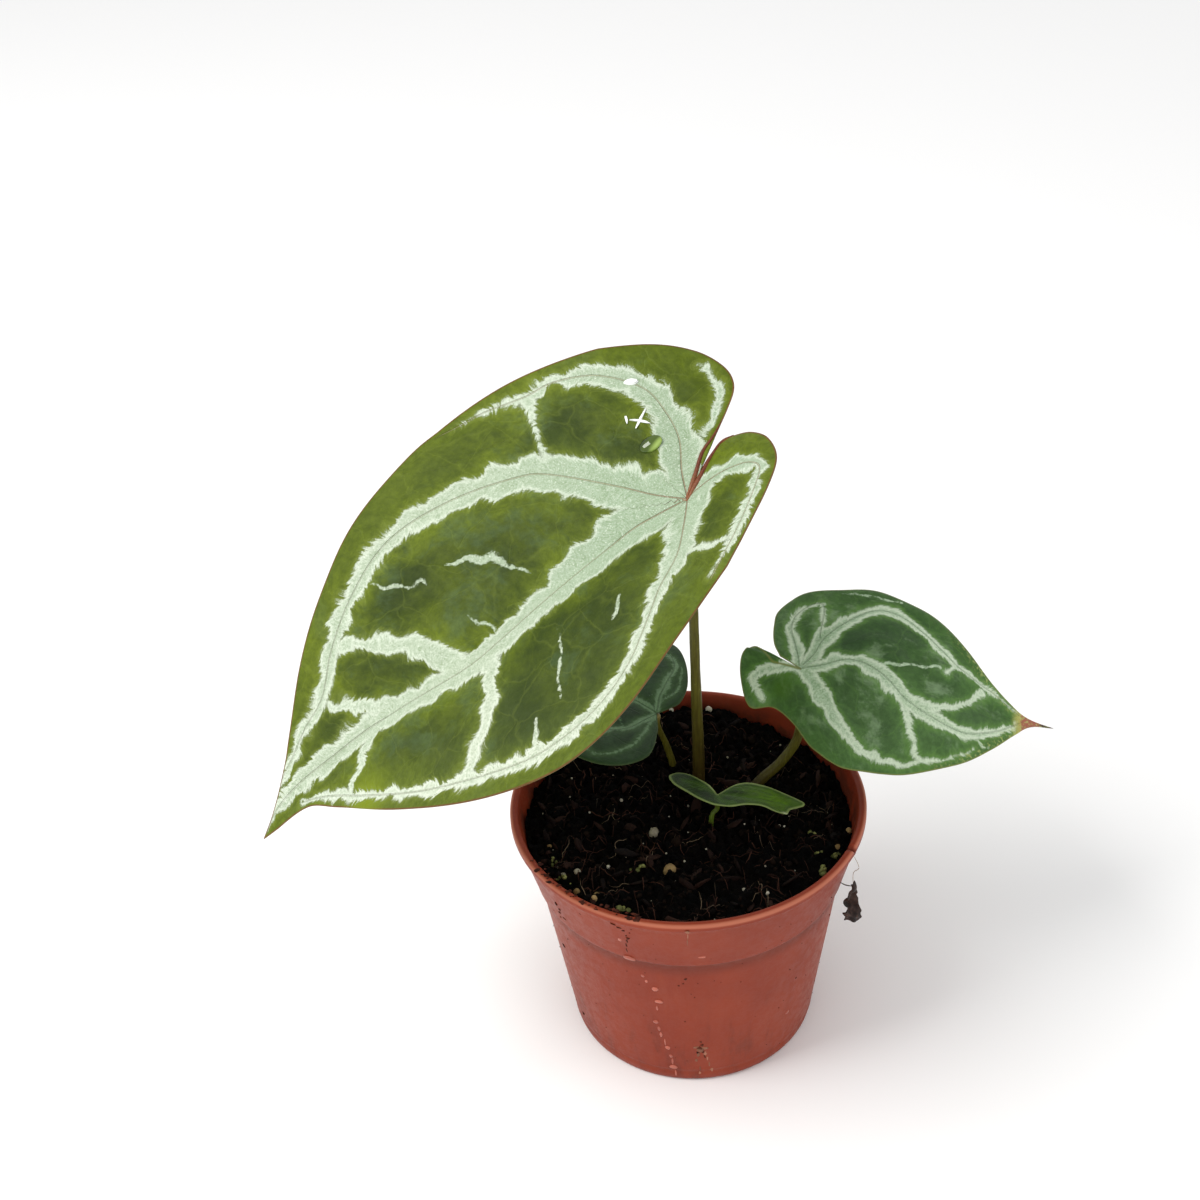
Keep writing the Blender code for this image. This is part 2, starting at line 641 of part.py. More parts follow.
FRONT_LEAF = {
    "name": "front_leaf_blade",
    "joint": (7.6, -0.2, 70.4),
    "length": 20.5,
    "heading": -9.0,
    "dip": [0, 6, 10, 12],
    "roll": [-12, -12],
    "fold_left": [4, 4],
    "fold_right": [-4, -4],
    "curl_left": [14, 10],
    "curl_right": [10, 40, 42],
    "half_width": 9.5,
    "wave": 0.3,
    "waves": 2.2,
    "lobe_length": 12.0,
    "lobe_lift_left": 0.0,
    "lobe_lift_right": 0.0,
    "sinus_slope": -1.60,
    "lobe_rows": 0.30,
    "outline_left": [
        (2.6, 3.4), (5, 5.4), (8, 6.3), (12.7, 6), (17, 4.6), (21.5, 3), (22, 1.6), (20.5, 0),
    ],
    "outline_right": [
        (-2.5, 4.2), (-5, 6.6), (-8.5, 9.3), (-11.6, 9.6), (-13.3, 6.7), (-12, 3.4), (-8.5, 0),
        (-4.5, -3.9), (0, -5.6), (4.3, -5.4), (8.5, -3.4), (12.5, -3.4), (17, -8), (18.6, -2),
        (20.5, 0),
    ],
    "veins": [
        [(0, 0), (8, 0), (18, 0)],
        [(0, 0), (4, 5), (10, 5)],
        [(0, 0), (3, -5), (9, -5.5)],
    ],
    "channel_width": 1.1,
    "channel_depth": 0.2,
    "rows": 18,
    "columns": 5,
}

# Stalks: foot is where the stalk stands in the mix; through holds places on its way up, in
# millimetres; radii are in millimetres.
STALKS = [
    {
        "name": "large_leaf_stalk",
        "foot": (3.1 * MM, 13.0 * MM),
        "through": [(3.2, 13.2, 75.0), (3.0, 12.0, 100.0), (2.9, 10.0, 125.0)],
        "radius_foot": 1.6,
        "hole_radius": 2.1,
        "radius_head": 1.1,
    },
    {
        "name": "right_leaf_stalk",
        "foot": (17.6 * MM, 11.2 * MM),
        "through": [(19.8, 11.5, 65.4), (24.8, 12.0, 70.8), (28.8, 12.0, 79.5)],
        "radius_foot": 1.5,
        "hole_radius": 2.5,
        "radius_head": 1.1,
    },
    {
        "name": "back_leaf_stalk",
        "foot": (-3.4 * MM, 20.4 * MM),
        "through": [(-5.2, 20.2, 70.5)],
        "radius_foot": 1.1,
        "hole_radius": 1.8,
        "radius_head": 0.8,
    },
    {
        "name": "front_leaf_stalk",
        "foot": (5.8 * MM, -1.9 * MM),
        "through": [(6.3, -1.5, 65.0)],
        "radius_foot": 0.8,
        "hole_radius": 1.4,
        "radius_head": 0.6,
    },
]
LEAVES = [LARGE_LEAF, RIGHT_LEAF, BACK_LEAF, FRONT_LEAF]


def main():
    clear_scene()
    parts = new_collection("anthurium_crystallinum")
    cutters = new_collection("cutters")
    terracotta = finish_of("terracotta_plastic", (0.42, 0.13, 0.085), 0.45)
    peat = finish_of("potting_mix", (0.018, 0.012, 0.009), 0.95)
    olive = finish_of("leaf_stalk", (0.16, 0.17, 0.035), 0.5)
    green = finish_of("leaf_blade", (0.10, 0.17, 0.035), 0.45)
    dried = finish_of("dried_leaf", (0.09, 0.045, 0.025), 0.8)
    build_pot(parts, cutters, terracotta)
    build_soil(STALKS, parts, cutters, peat)
    for leaf, stalk in zip(LEAVES, STALKS):
        build_blade(leaf, parts, green)
        build_stalk(stalk, leaf, parts, olive)
    build_scrap(parts, dried)
    for thing in parts.objects:
        if thing.type == "MESH" and thing.name in ("pot", "soil"):
            smooth_shading(thing, 32)


main()
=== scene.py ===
# %% [markdown]
# # A young Anthurium crystallinum in its nursery pot
#
# The plant has four heart-shaped leaves. Silvery bands follow the veins, and each band ends in fine
# teeth. The CAD model gives the pot, the potting mix, the stalks and the blades their sizes and
# places. This script dresses them: each blade becomes a fine surface that knows how far every point
# lies from a vein, and its material turns those distances into bands, lines and teeth.

import math

import bmesh
import bpy
import numpy as np
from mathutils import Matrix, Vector


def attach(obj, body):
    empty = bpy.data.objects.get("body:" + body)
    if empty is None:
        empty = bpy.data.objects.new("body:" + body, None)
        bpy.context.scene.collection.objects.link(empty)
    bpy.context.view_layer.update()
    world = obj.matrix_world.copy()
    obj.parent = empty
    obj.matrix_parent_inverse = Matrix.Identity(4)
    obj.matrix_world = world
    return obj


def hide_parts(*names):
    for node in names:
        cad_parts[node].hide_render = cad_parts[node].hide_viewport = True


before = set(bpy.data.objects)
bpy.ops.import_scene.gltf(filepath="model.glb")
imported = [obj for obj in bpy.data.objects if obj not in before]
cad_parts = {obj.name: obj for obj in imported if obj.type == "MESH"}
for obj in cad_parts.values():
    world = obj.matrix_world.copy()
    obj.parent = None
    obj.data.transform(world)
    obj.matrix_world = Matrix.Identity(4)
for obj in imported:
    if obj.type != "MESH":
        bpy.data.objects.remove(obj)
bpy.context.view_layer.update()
MM = 0.001

# %% [markdown]
# ## Tools for shapes
#
# Every new piece is a grid of points that numpy works out at once. One helper turns such a grid into
# a mesh. It can close each row into a ring, and it welds points that fall together, such as the pole
# of a dome. Numbers that belong to each point travel with the mesh as named attributes, and the
# materials read them.


# %% Mesh from a grid of points
def store(mesh, attributes):
    """Put each named array on the mesh's points: one number or three numbers per point."""
    for name, values in attributes.items():
        values = np.asarray(values, dtype=np.float32)
        kind, field = ("FLOAT", "value") if values.ndim == 1 else ("FLOAT_VECTOR", "vector")
        layer = mesh.attributes.new(name, kind, "POINT")
        layer.data.foreach_set(field, values.ravel())


def grid_faces(rows, columns, start=0, close_columns=False):
    """Corner numbers of the quads of a rows x columns grid of points numbered row by row."""
    index = start + np.arange(rows * columns).reshape(rows, columns)
    if close_columns:
        index = np.hstack([index, index[:, :1]])
    corners = [index[:-1, :-1], index[1:, :-1], index[1:, 1:], index[:-1, 1:]]
    return np.stack(corners, axis=-1).reshape(-1, 4)


def repeated(faces, count, size):
    """The same faces for count copies whose points follow one another in blocks of the given size."""
    return (faces[None] + np.arange(count)[:, None, None] * size).reshape(-1, faces.shape[1])


def welded_outward(mesh, reach):
    """Merge points that lie within reach of each other, and turn every face outwards."""
    shape = bmesh.new()
    shape.from_mesh(mesh)
    bmesh.ops.remove_doubles(shape, verts=shape.verts[:], dist=reach)
    bmesh.ops.recalc_face_normals(shape, faces=shape.faces[:])
    shape.to_mesh(mesh)
    shape.free()


def piece_from(name, points, faces, finish, attributes, weld):
    """A smooth piece that rides on the plant: points (n, 3) in metres and faces as corner numbers."""
    mesh = bpy.data.meshes.new(name)
    loops = faces if isinstance(faces, list) else faces.tolist()
    mesh.from_pydata(np.asarray(points).reshape(-1, 3), [], loops)
    store(mesh, attributes)
    welded_outward(mesh, weld)
    mesh.shade_smooth()
    mesh.materials.append(finish)
    piece = bpy.data.objects.new(name, mesh)
    bpy.context.scene.collection.objects.link(piece)
    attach(piece, "root")
    print(f"{name}: {len(mesh.polygons)} faces")
    return piece


# %% [markdown]
# Natural surfaces are never smooth, so a cheap noise helps. It adds many sine waves that run in
# drawn directions with drawn starts. Waves of about the same length give lumps of that size, and the
# sum never repeats over a piece as small as this one. The draws are seeded, so each run is the same.


# %% Lumpy noise and smooth lines
def lumps(points, size, seed):
    """Noise of about -1 to 1 with lumps of the given size: the mean of sines along drawn directions."""
    waves = 24
    draw = np.random.default_rng(seed)
    directions = draw.normal(size=(waves, points.shape[-1]))
    directions /= np.linalg.norm(directions, axis=1, keepdims=True)
    pace = 2 * np.pi / size * draw.uniform(0.6, 1.5, waves)
    start = draw.uniform(0, 2 * np.pi, waves)
    phase = points @ (directions * pace[:, None]).T + start
    return np.sin(phase).sum(axis=-1) / math.sqrt(waves / 2)


def eased(u, values):
    """Value along even stations for u from 0 to 1, eased from each station to the next."""
    last = len(values) - 1
    place = np.clip(np.asarray(u, float), 0, 1) * last
    low = np.minimum(place.astype(int), last - 1)
    part = place - low
    ease = part * part * (3 - 2 * part)
    table = np.array(values, float)
    return table[low] * (1 - ease) + table[low + 1] * ease


def smooth_line(points, count):
    """A Catmull-Rom curve through the points, read at count places even along its length."""
    knots = np.array(points, float)
    ends = np.vstack([2 * knots[0] - knots[1], knots, 2 * knots[-1] - knots[-2]])
    share = np.linspace(0, 1, 12, endpoint=False)[:, None]
    spans = []
    for a, b, c, d in zip(ends[:-3], ends[1:-2], ends[2:-1], ends[3:]):
        cubic = (3 * (b - c) + d - a) * share**3 + (2 * a - 5 * b + 4 * c - d) * share**2
        spans.append(b + 0.5 * ((c - a) * share + cubic))
    line = np.vstack([*spans, knots[-1:]])
    length = np.concatenate([[0], np.cumsum(np.linalg.norm(np.diff(line, axis=0), axis=1))])
    even = np.linspace(0, length[-1], count)
    return np.stack([np.interp(even, length, line[:, k]) for k in range(line.shape[1])], axis=1)


def tube(path, radius, sides, groove=0.0, across=(0.0, 1.0, 0.12)):
    """Points (rings, sides, 3) of a round tube, or of several: each ring stands square to the path.

    A ring's side looks square to the direction called across. The groove flattens one side of it.
    """
    forward = np.gradient(path, axis=-2)
    forward /= np.linalg.norm(forward, axis=-1, keepdims=True)
    side = np.cross(forward, across)
    side /= np.linalg.norm(side, axis=-1, keepdims=True)
    up = np.cross(side, forward)
    turn = np.linspace(0, 2 * np.pi, sides, endpoint=False)[:, None]
    reach = 1 - groove * np.exp(-((((turn + np.pi / 2) % (2 * np.pi) - np.pi) / 0.55) ** 2))
    radius = np.broadcast_to(np.asarray(radius, float), path.shape[:-1])[..., None, None]
    ring = np.cos(turn) * side[..., None, :] + np.sin(turn) * up[..., None, :]
    return path[..., None, :] + ring * reach * radius


def capped(path, radius, sides, groove=0.0):
    """A tube closed at both ends: the first and the last of its rings are single points."""
    ends = path[:1, None].repeat(sides, axis=1), path[-1:, None].repeat(sides, axis=1)
    return np.concatenate([ends[0], tube(path, radius, sides, groove), ends[1]])


# %% [markdown]
# ## Tools for finishes
#
# A material is a small tree of nodes. The class below gives the nodes short names, so that each
# finish reads like a recipe: take a distance, ruffle it with noise, and blend two colours by it.
# Colours are written as they look on a screen, from 0 to 255, and turned into light values here.


# %% A short way to write node materials
def light(colour):
    """Screen colour 0-255 as linear light: ((c + 0.055) / 1.055) ** 2.4 above the dark toe."""
    share = np.array(colour, float) / 255
    bright = np.where(share > 0.04045, ((share + 0.055) / 1.055) ** 2.4, share / 12.92)
    return (*bright.tolist(), 1.0)


class Finish:
    """A Principled material under construction."""

    def __init__(self, name, **constants):
        self.material = bpy.data.materials.new(name)
        self.material.use_nodes = True
        self.tree = self.material.node_tree
        self.shader = self.tree.nodes["Principled BSDF"]
        for socket, value in constants.items():
            self.set(self.shader, socket.replace("_", " "), value)

    def set(self, node, socket, value):
        """Link a node's output to a socket, or set the socket's constant."""
        target = node.inputs[socket]
        if isinstance(value, bpy.types.NodeSocket):
            self.tree.links.new(value, target)
        else:
            target.default_value = value

    def node(self, kind, settings=None, **sockets):
        made = self.tree.nodes.new("ShaderNode" + kind)
        for key, value in (settings or {}).items():
            setattr(made, key, value)
        for socket, value in sockets.items():
            self.set(made, socket.replace("_", " "), value)
        return made

    def attribute(self, name, output="Fac"):
        return self.node("Attribute", {"attribute_name": name}).outputs[output]

    def place(self):
        return self.node("TexCoord").outputs["Object"]

    def stretched(self, vector, scale):
        """The vector with each part multiplied by its own scale."""
        made = self.node("VectorMath", {"operation": "MULTIPLY"})
        self.set(made, 0, vector)
        made.inputs[1].default_value = scale
        return made.outputs[0]

    def math(self, operation, a, b=0.0, clamp=False):
        made = self.node("Math", {"operation": operation, "use_clamp": clamp})
        self.set(made, 0, a)
        self.set(made, 1, b)
        return made.outputs[0]

    def plus(self, a, b, clamp=False):
        return self.math("ADD", a, b, clamp)

    def times(self, a, b):
        return self.math("MULTIPLY", a, b)

    def sway(self, noise, reach):
        """Noise of 0 to 1 as a shift about zero: (noise - 0.5) * reach."""
        return self.times(self.math("SUBTRACT", noise, 0.5), reach)

    def noise(self, vector, scale, detail=3.0, roughness=0.55):
        sockets = {"Vector": vector, "Scale": scale, "Detail": detail, "Roughness": roughness}
        return self.node("TexNoise", None, **sockets).outputs["Fac"]

    def step(self, value, low, high, start=0.0, end=1.0):
        """Smooth step: start below low, end above high, and an eased blend between."""
        made = self.node("MapRange", {"interpolation_type": "SMOOTHSTEP"})
        for socket, number in (("From Min", low), ("From Max", high), ("To Min", start), ("To Max", end)):
            made.inputs[socket].default_value = number
        self.set(made, "Value", value)
        return made.outputs["Result"]

    def blend(self, share, a, b, how="MIX"):
        made = self.node("Mix", {"data_type": "RGBA", "blend_type": how})
        self.set(made, 0, share)
        self.set(made, 6, a)
        self.set(made, 7, b)
        return made.outputs[2]

    def paint(self, under, colour, share):
        """A screen colour laid over what is under it, by a share of 0 to 1."""
        return self.blend(share, under, light(colour))

    def bump(self, height, distance, before=None):
        made = self.node("Bump", None, Height=height, Distance=distance, Strength=1.0)
        if before is not None:
            self.set(made, "Normal", before)
        return made.outputs["Normal"]

    def done(self, **sockets):
        for socket, value in sockets.items():
            self.set(self.shader, socket.replace("_", " "), value)
        return self.material


# %% [markdown]
# ## The leaf blades as surfaces
#
# A blade is described on its own flat map: how far along the midrib, and how far across. The map is
# bent into space in the same way as in the CAD source. The midrib dips below level as its stations
# say, the blade rolls about it, each half folds up or down and curls as it goes out, and behind the
# stalk the two lobes part along the line of the sinus. The tables below repeat the CAD's numbers, so
# the fine blade lies where the plain solid lies.


# %% Bending a flat leaf map into space
BLADE_THICKNESS = 0.5 * MM


def rib_frame(leaf, along):
    """Points on the midrib with the across and up directions there, for places along it in metres."""
    length = leaf["length"] * MM
    steps = np.linspace(-0.7, 1.1, 541) * length
    dip = np.radians(eased(steps / length, leaf["dip"]))
    stride = steps[1] - steps[0]
    level = np.concatenate([[0], np.cumsum((np.cos(dip[1:]) + np.cos(dip[:-1])) / 2 * stride)])
    drop = np.concatenate([[0], np.cumsum((np.sin(dip[1:]) + np.sin(dip[:-1])) / 2 * stride)])
    level -= np.interp(0, steps, level)
    drop -= np.interp(0, steps, drop)
    heading = math.radians(leaf["heading"])
    ahead = np.array([math.cos(heading), math.sin(heading), 0.0])
    left = np.array([-ahead[1], ahead[0], 0.0])
    up = np.array([0.0, 0.0, 1.0])
    here = np.radians(eased(along / length, leaf["dip"]))[..., None]
    roll = np.radians(eased(along / length, leaf["roll"]))[..., None]
    raised = np.sin(here) * ahead + np.cos(here) * up
    across = np.cos(roll) * left + np.sin(roll) * raised
    normal = -np.sin(roll) * left + np.cos(roll) * raised
    joint = np.array(leaf["joint"]) * MM
    centre = joint + np.interp(along, steps, level)[..., None] * ahead
    centre = centre - np.interp(along, steps, drop)[..., None] * up
    return centre, across, normal


def channel_depth(leaf, along, across):
    """How far the blade sinks along its main veins: a bell of the distance to each vein's line."""
    sunk = np.zeros_like(along)
    for line in leaf["channels"]:
        path = smooth_line(line, 14) * MM
        for start, end in zip(path[:-1], path[1:]):
            step = end - start
            reach = ((along - start[0]) * step[0] + (across - start[1]) * step[1]) / (step @ step)
            reach = np.clip(reach, 0, 1)
            apart = np.hypot(along - start[0] - reach * step[0], across - start[1] - reach * step[1])
            sunk = np.maximum(sunk, np.exp(-((apart / (leaf["channel_width"] * MM)) ** 2)))
    return sunk * leaf["channel_depth"] * MM


def blade_surface(leaf, along, across):
    """The blade's mid-surface: each half leaves the midrib at its fold angle and curls as it goes out.

    Height = out * sin(fold) + curl * out^2 / (2 * half width) + a wave along the margin + the lobe's
    lift - the channel over each main vein, measured square to the rolled midrib.
    """
    length = leaf["length"] * MM
    centre, side, normal = rib_frame(leaf, along)
    share = along / length
    sinus = leaf["sinus_slope"] * np.minimum(along, 0)
    bent = across - sinus
    left_half = bent > 0
    fold = np.where(left_half, eased(share, leaf["fold_left"]), eased(share, leaf["fold_right"]))
    curl = np.where(left_half, eased(share, leaf["curl_left"]), eased(share, leaf["curl_right"]))
    fold, curl = np.radians(fold), np.radians(curl)
    out = np.abs(bent)
    reach = out / (leaf["half_width"] * MM)
    height = out * np.sin(fold) + curl * out * reach / 2
    waves = leaf["wave"] * MM * np.sin(leaf["waves"] * math.pi * share + np.where(left_half, 0.6, 2.1))
    height = height + waves * reach**2
    lobe_share = np.clip(-along / (leaf["lobe_length"] * MM), 0, 1.3)
    lobe_lift = np.where(left_half, leaf["lobe_lift_left"], leaf["lobe_lift_right"]) * MM
    height = height + lobe_lift * lobe_share**1.2
    height = height - channel_depth(leaf, along, across)
    spread = bent * np.cos(fold) + sinus
    return centre + spread[..., None] * side + height[..., None] * normal


def blade_slope(leaf, along, across):
    """The step along the blade at each place, and the direction of length 1 square to the blade."""
    tiny = 0.2 * MM
    ahead = blade_surface(leaf, along + tiny, across) - blade_surface(leaf, along - tiny, across)
    aside = blade_surface(leaf, along, across + tiny) - blade_surface(leaf, along, across - tiny)
    normal = np.cross(ahead, aside)
    return ahead, normal / np.linalg.norm(normal, axis=-1, keepdims=True)


def half_grid(leaf, outline, rows, columns):
    """(along, across) of a half blade's grid, in metres.

    Each row runs from a foot to the margin. The foot stays at the stalk joint round the lobe and
    then walks down the midrib to the tip.
    """
    edge = smooth_line(outline, rows + 1) * MM
    step = np.linspace(0, 1, rows + 1)
    walk = np.clip((step - leaf["lobe_rows"]) / (1 - leaf["lobe_rows"]), 0, 1)
    foot_along = leaf["length"] * MM * (1 - (1 - walk) ** 1.15) ** 1.25
    foot = np.stack([foot_along, edge[-1, 1] * walk**3], axis=1)
    share = np.linspace(0, 1, columns + 1)[None, :, None]
    return foot[:, None, :] * (1 - share) + edge[:, None, :] * share


# %% [markdown]
# ## Where the veins run
#
# The bands are not a picture. Each vein is a smooth line on the leaf's map with a width that tapers
# along it, and every point of the blade gets three numbers from the nearest vein: how far outside
# the band's edge it lies, how far along the vein it is, and how far from the centre line. The comb
# of fine teeth needs the last two, because the teeth stand square to the vein.


# %% Distances to the nearest vein
def vein_fields(veins, along, across):
    """Numbers in millimetres for each point of the map, from its nearest vein.

    band is the distance to the centre line less the band's half width there, so it is negative
    inside. line is the distance with a sign that tells the sides apart. comb is (place along the
    vein less a slant, distance, vein number), so that teeth lean forward.
    """
    shape = along.shape
    along, across = along.ravel() / MM, across.ravel() / MM
    band = np.full(along.shape, 99.0)
    line = np.full(along.shape, 99.0)
    comb = np.zeros((along.size, 3))
    for number, vein in enumerate(veins):
        path = smooth_line(vein, 8 + 4 * len(vein))
        run = 0.0
        for start, end in zip(path[:-1], path[1:]):
            step = end[:2] - start[:2]
            length = math.hypot(*step)
            reach = np.clip(((along - start[0]) * step[0] + (across - start[1]) * step[1]) / length**2, 0, 1)
            off_along = along - start[0] - reach * step[0]
            off_across = across - start[1] - reach * step[1]
            apart = np.hypot(off_along, off_across)
            outside = apart - (start[2] + reach * (end[2] - start[2]))
            nearer = outside < band
            band = np.where(nearer, outside, band)
            place = run + reach * length - 0.7 * apart + 31.0 * number
            place = np.stack([place, apart, np.full_like(apart, number)], axis=1)
            comb = np.where(nearer[:, None], place, comb)
            sign = np.where(step[0] * off_across - step[1] * off_along < 0, -1.0, 1.0)
            line = np.where(apart < np.abs(line), sign * apart, line)
            run += length
    return band.reshape(shape), line.reshape(shape), comb.reshape(*shape, 3)


# %% [markdown]
# The mesh of a blade is one closed skin. It is much finer than the CAD's, because every point has to
# carry its own distances. Where a band runs, the vein sinks a little and the underside has a rib.


# %% Blade mesh
def blade_piece(name, leaf, finish, rows, columns):
    """A closed fine blade. Each half is a sheet that runs out over the top and back under the blade.

    Top and underside lie half the thickness to either side of the mid-surface. Under the main veins
    the underside bulges into a rib. The blade's quilted relief rises between the veins.
    """
    points, faces, told = [], [], {"map": [], "band": [], "line": [], "comb": [], "edge": [], "under": []}
    corners = []
    bounds = [[(*place, 0.0) for place in leaf[side]] for side in ("outline_left", "outline_right")]
    bounds += [[(0.0, 0.0, 0.0), line[0]] for line in bounds]
    width = 2 * columns + 3
    start = 0
    for outline in (leaf["outline_left"], leaf["outline_right"]):
        grid = half_grid(leaf, outline, rows, columns)
        along, across = grid[..., 0], grid[..., 1]
        swerve = leaf["swerve"] * MM
        wandering = along + swerve * lumps(grid / MM, 8.0, 31), across + swerve * lumps(grid / MM, 8.0, 32)
        band, _, comb = vein_fields(leaf["bands"], *wandering)
        _, line, _ = vein_fields(leaf["bands"][: leaf["main_veins"]], along, across)
        thin, _, _ = vein_fields(leaf["threads"], *wandering)
        edge, _, _ = vein_fields(bounds, along, across)
        mid = blade_surface(leaf, along, across)
        _, normal = blade_slope(leaf, along, across)
        quilt = leaf["quilt"] * MM * np.clip(np.minimum(band, 6) / 6, 0, 1) * np.clip(edge / 5, 0, 1)
        quilt = quilt * (0.6 + 0.4 * lumps(grid / MM, 9.0, 5))
        rib = leaf["rib"] * MM * np.exp(-((line / 1.3) ** 2)) * np.clip(edge / 4, 0, 1)
        half = BLADE_THICKNESS / 2 * np.clip(edge / 0.8, 0.35, 1)
        top = mid + normal * (half + quilt)[..., None]
        below = mid - normal * (half - quilt * 0.8 + rib)[..., None]
        points.append(np.concatenate([top, mid[:, -1:], below[:, ::-1]], axis=1).reshape(-1, 3))
        faces.append(grid_faces(rows + 1, width, start))
        seam = start + np.arange(columns + 1)
        back = start + width - 1 - np.arange(columns + 1)
        faces.append(np.stack([seam[:-1], back[:-1], back[1:], seam[1:]], axis=1))
        corners.append([start + columns, start + columns + 2, start + columns + 1])
        fields = {"map": np.dstack([along / MM, across / MM, thin]), "band": band, "line": line, "comb": comb}
        for key, values in {**fields, "edge": edge, "under": 0 * band}.items():
            back_values = values[:, ::-1] + (key == "under")
            wrapped = np.concatenate([values, values[:, -1:], back_values], axis=1)
            told[key].append(wrapped.reshape(-1, *wrapped.shape[2:]))
        start += (rows + 1) * width
    attributes = {key: np.concatenate(values) for key, values in told.items()}
    loops = np.concatenate(faces).tolist() + corners
    return piece_from(name, np.concatenate(points), loops, finish, attributes, weld=1e-6)


# %% [markdown]
# ## The finish of a blade
#
# Seen close, the top of the blade is matt and velvety, olive to deep green, with a faint net of small
# veins. The bands are silvery because air under the skin scatters light. The finish is built in
# steps: where the bands are, the green between them, the frost on them, the lines and the margin,
# and the relief. Each step puts what later steps need into a dictionary of fields.
#
# First come the bands. Their edges break into fine teeth: the distance to a band is shifted by three
# noises, and two of them are drawn out square to the vein, so that they comb the edge.


# %% Where the bands are
FLAT = (1.0, 1.0, 0.0)


def length_of(made, vector):
    far = made.node("VectorMath", {"operation": "LENGTH"})
    made.set(far, 0, vector)
    return far.outputs["Value"]


def band_fields(made, look):
    """The fields of a blade: its map, its distances and silver, which is 1 in a band and 0 outside."""
    where = made.attribute("map", "Vector")
    comb = made.attribute("comb", "Vector")
    parts = made.node("SeparateXYZ", None, Vector=where).outputs
    teeth = made.noise(made.stretched(comb, (0.9, 0.16, 7.3)), 1.0, detail=3.0, roughness=0.6)
    hairs = made.noise(made.stretched(comb, (5.5, 0.6, 5.1)), 1.0, detail=4.0, roughness=0.65)
    ruffle = made.noise(where, 3.0, detail=6.0, roughness=0.8)
    shift = made.sway(teeth, look["teeth"])
    shift = made.plus(shift, made.sway(hairs, look["hairs"]))
    shift = made.plus(shift, made.sway(ruffle, look["ruffle"]))
    band = made.attribute("band")
    ragged = made.plus(band, shift)
    breaks = made.noise(where, 0.6, detail=6.0, roughness=0.75)
    thread = made.step(made.plus(parts[2], made.sway(breaks, 2.2)), -0.15, 0.25, 0.95, 0.0)
    silver = made.math("MAXIMUM", made.step(ragged, -0.5, 0.2, 1.0, 0.0), thread)
    return {
        "where": where,
        "along": parts[0],
        "across": parts[1],
        "far": length_of(made, made.stretched(where, FLAT)),
        "band": band,
        "ragged": ragged,
        "hairs": hairs,
        "ruffle": ruffle,
        "silver": silver,
        "edge": made.attribute("edge"),
        "line": made.math("ABSOLUTE", made.attribute("line")),
    }


# %% [markdown]
# The green isn't one colour. Broad clouds move it between deep and fresh, the half that faces the
# light is paler, the middle between two bands is darker, and the skin shines bluish in patches.
# Towards the margin it is fresher. Close to a band it fades to a yellowish halo, and a net of veinlets
# is drawn by the edges of drawn cells, whose straight sides are bent by noise first.


# %% The green between the bands
def leaf_green(made, look, at):
    """The green of the top, from the clouds to the net. Adds cloud, lit_half, mottle and veinlet."""
    where = at["where"]
    at["cloud"] = made.noise(where, 0.05, detail=7.0, roughness=0.66)
    green = made.blend(made.step(at["cloud"], 0.35, 0.65), light(look["deep"]), light(look["fresh"]))
    at["lit_half"] = made.step(at[look["light_axis"]], look["light_from"], look["light_to"])
    green = made.paint(green, look["lit"], made.times(at["lit_half"], look["light_share"]))
    middle = made.step(at["band"], 0.5, look["half_width"] * 0.16, 0.0, look["middle_share"])
    green = made.paint(green, look["shade"], middle)
    sheen = made.noise(where, look["sheen_scale"], detail=7.0, roughness=0.68)
    green = made.paint(green, look["sheen"], made.step(sheen, 0.50, 0.64, 0.0, look["sheen_share"]))
    rim_glow = made.step(at["edge"], 0.5, look["half_width"] * 0.3, 0.6, 0.0)
    green = made.paint(green, look["fresh"], rim_glow)
    at["mottle"] = made.noise(where, 0.55, detail=6.0, roughness=0.7)
    green = made.paint(green, look["shade"], made.step(at["mottle"], 0.25, 0.75, 0.0, 0.45))
    halo = made.step(made.math("ABSOLUTE", at["ragged"]), 0.0, 1.6, 0.45, 0.0)
    green = made.paint(green, look["halo"], halo)
    bend = made.node("VectorMath", {"operation": "ADD"})
    wander = made.node("TexNoise", None, Vector=where, Scale=0.09, Detail=3.0).outputs["Color"]
    made.set(bend, 0, where)
    made.set(bend, 1, made.stretched(wander, (9.0, 9.0, 0.0)))
    net = made.node("TexVoronoi", {"feature": "DISTANCE_TO_EDGE"}, Scale=0.085, Randomness=1.0)
    made.set(net, "Vector", made.stretched(bend.outputs[0], FLAT))
    at["veinlet"] = made.step(net.outputs["Distance"], 0.0, 0.03, 1.0, 0.0)
    return made.paint(green, look["halo"], made.times(at["veinlet"], 0.14))


# %% [markdown]
# The frost is mint grey near the stalk and whiter further out and where the light falls. Grains of two
# sizes and the combed hairs keep it from looking painted, and it is brightest at its brink.


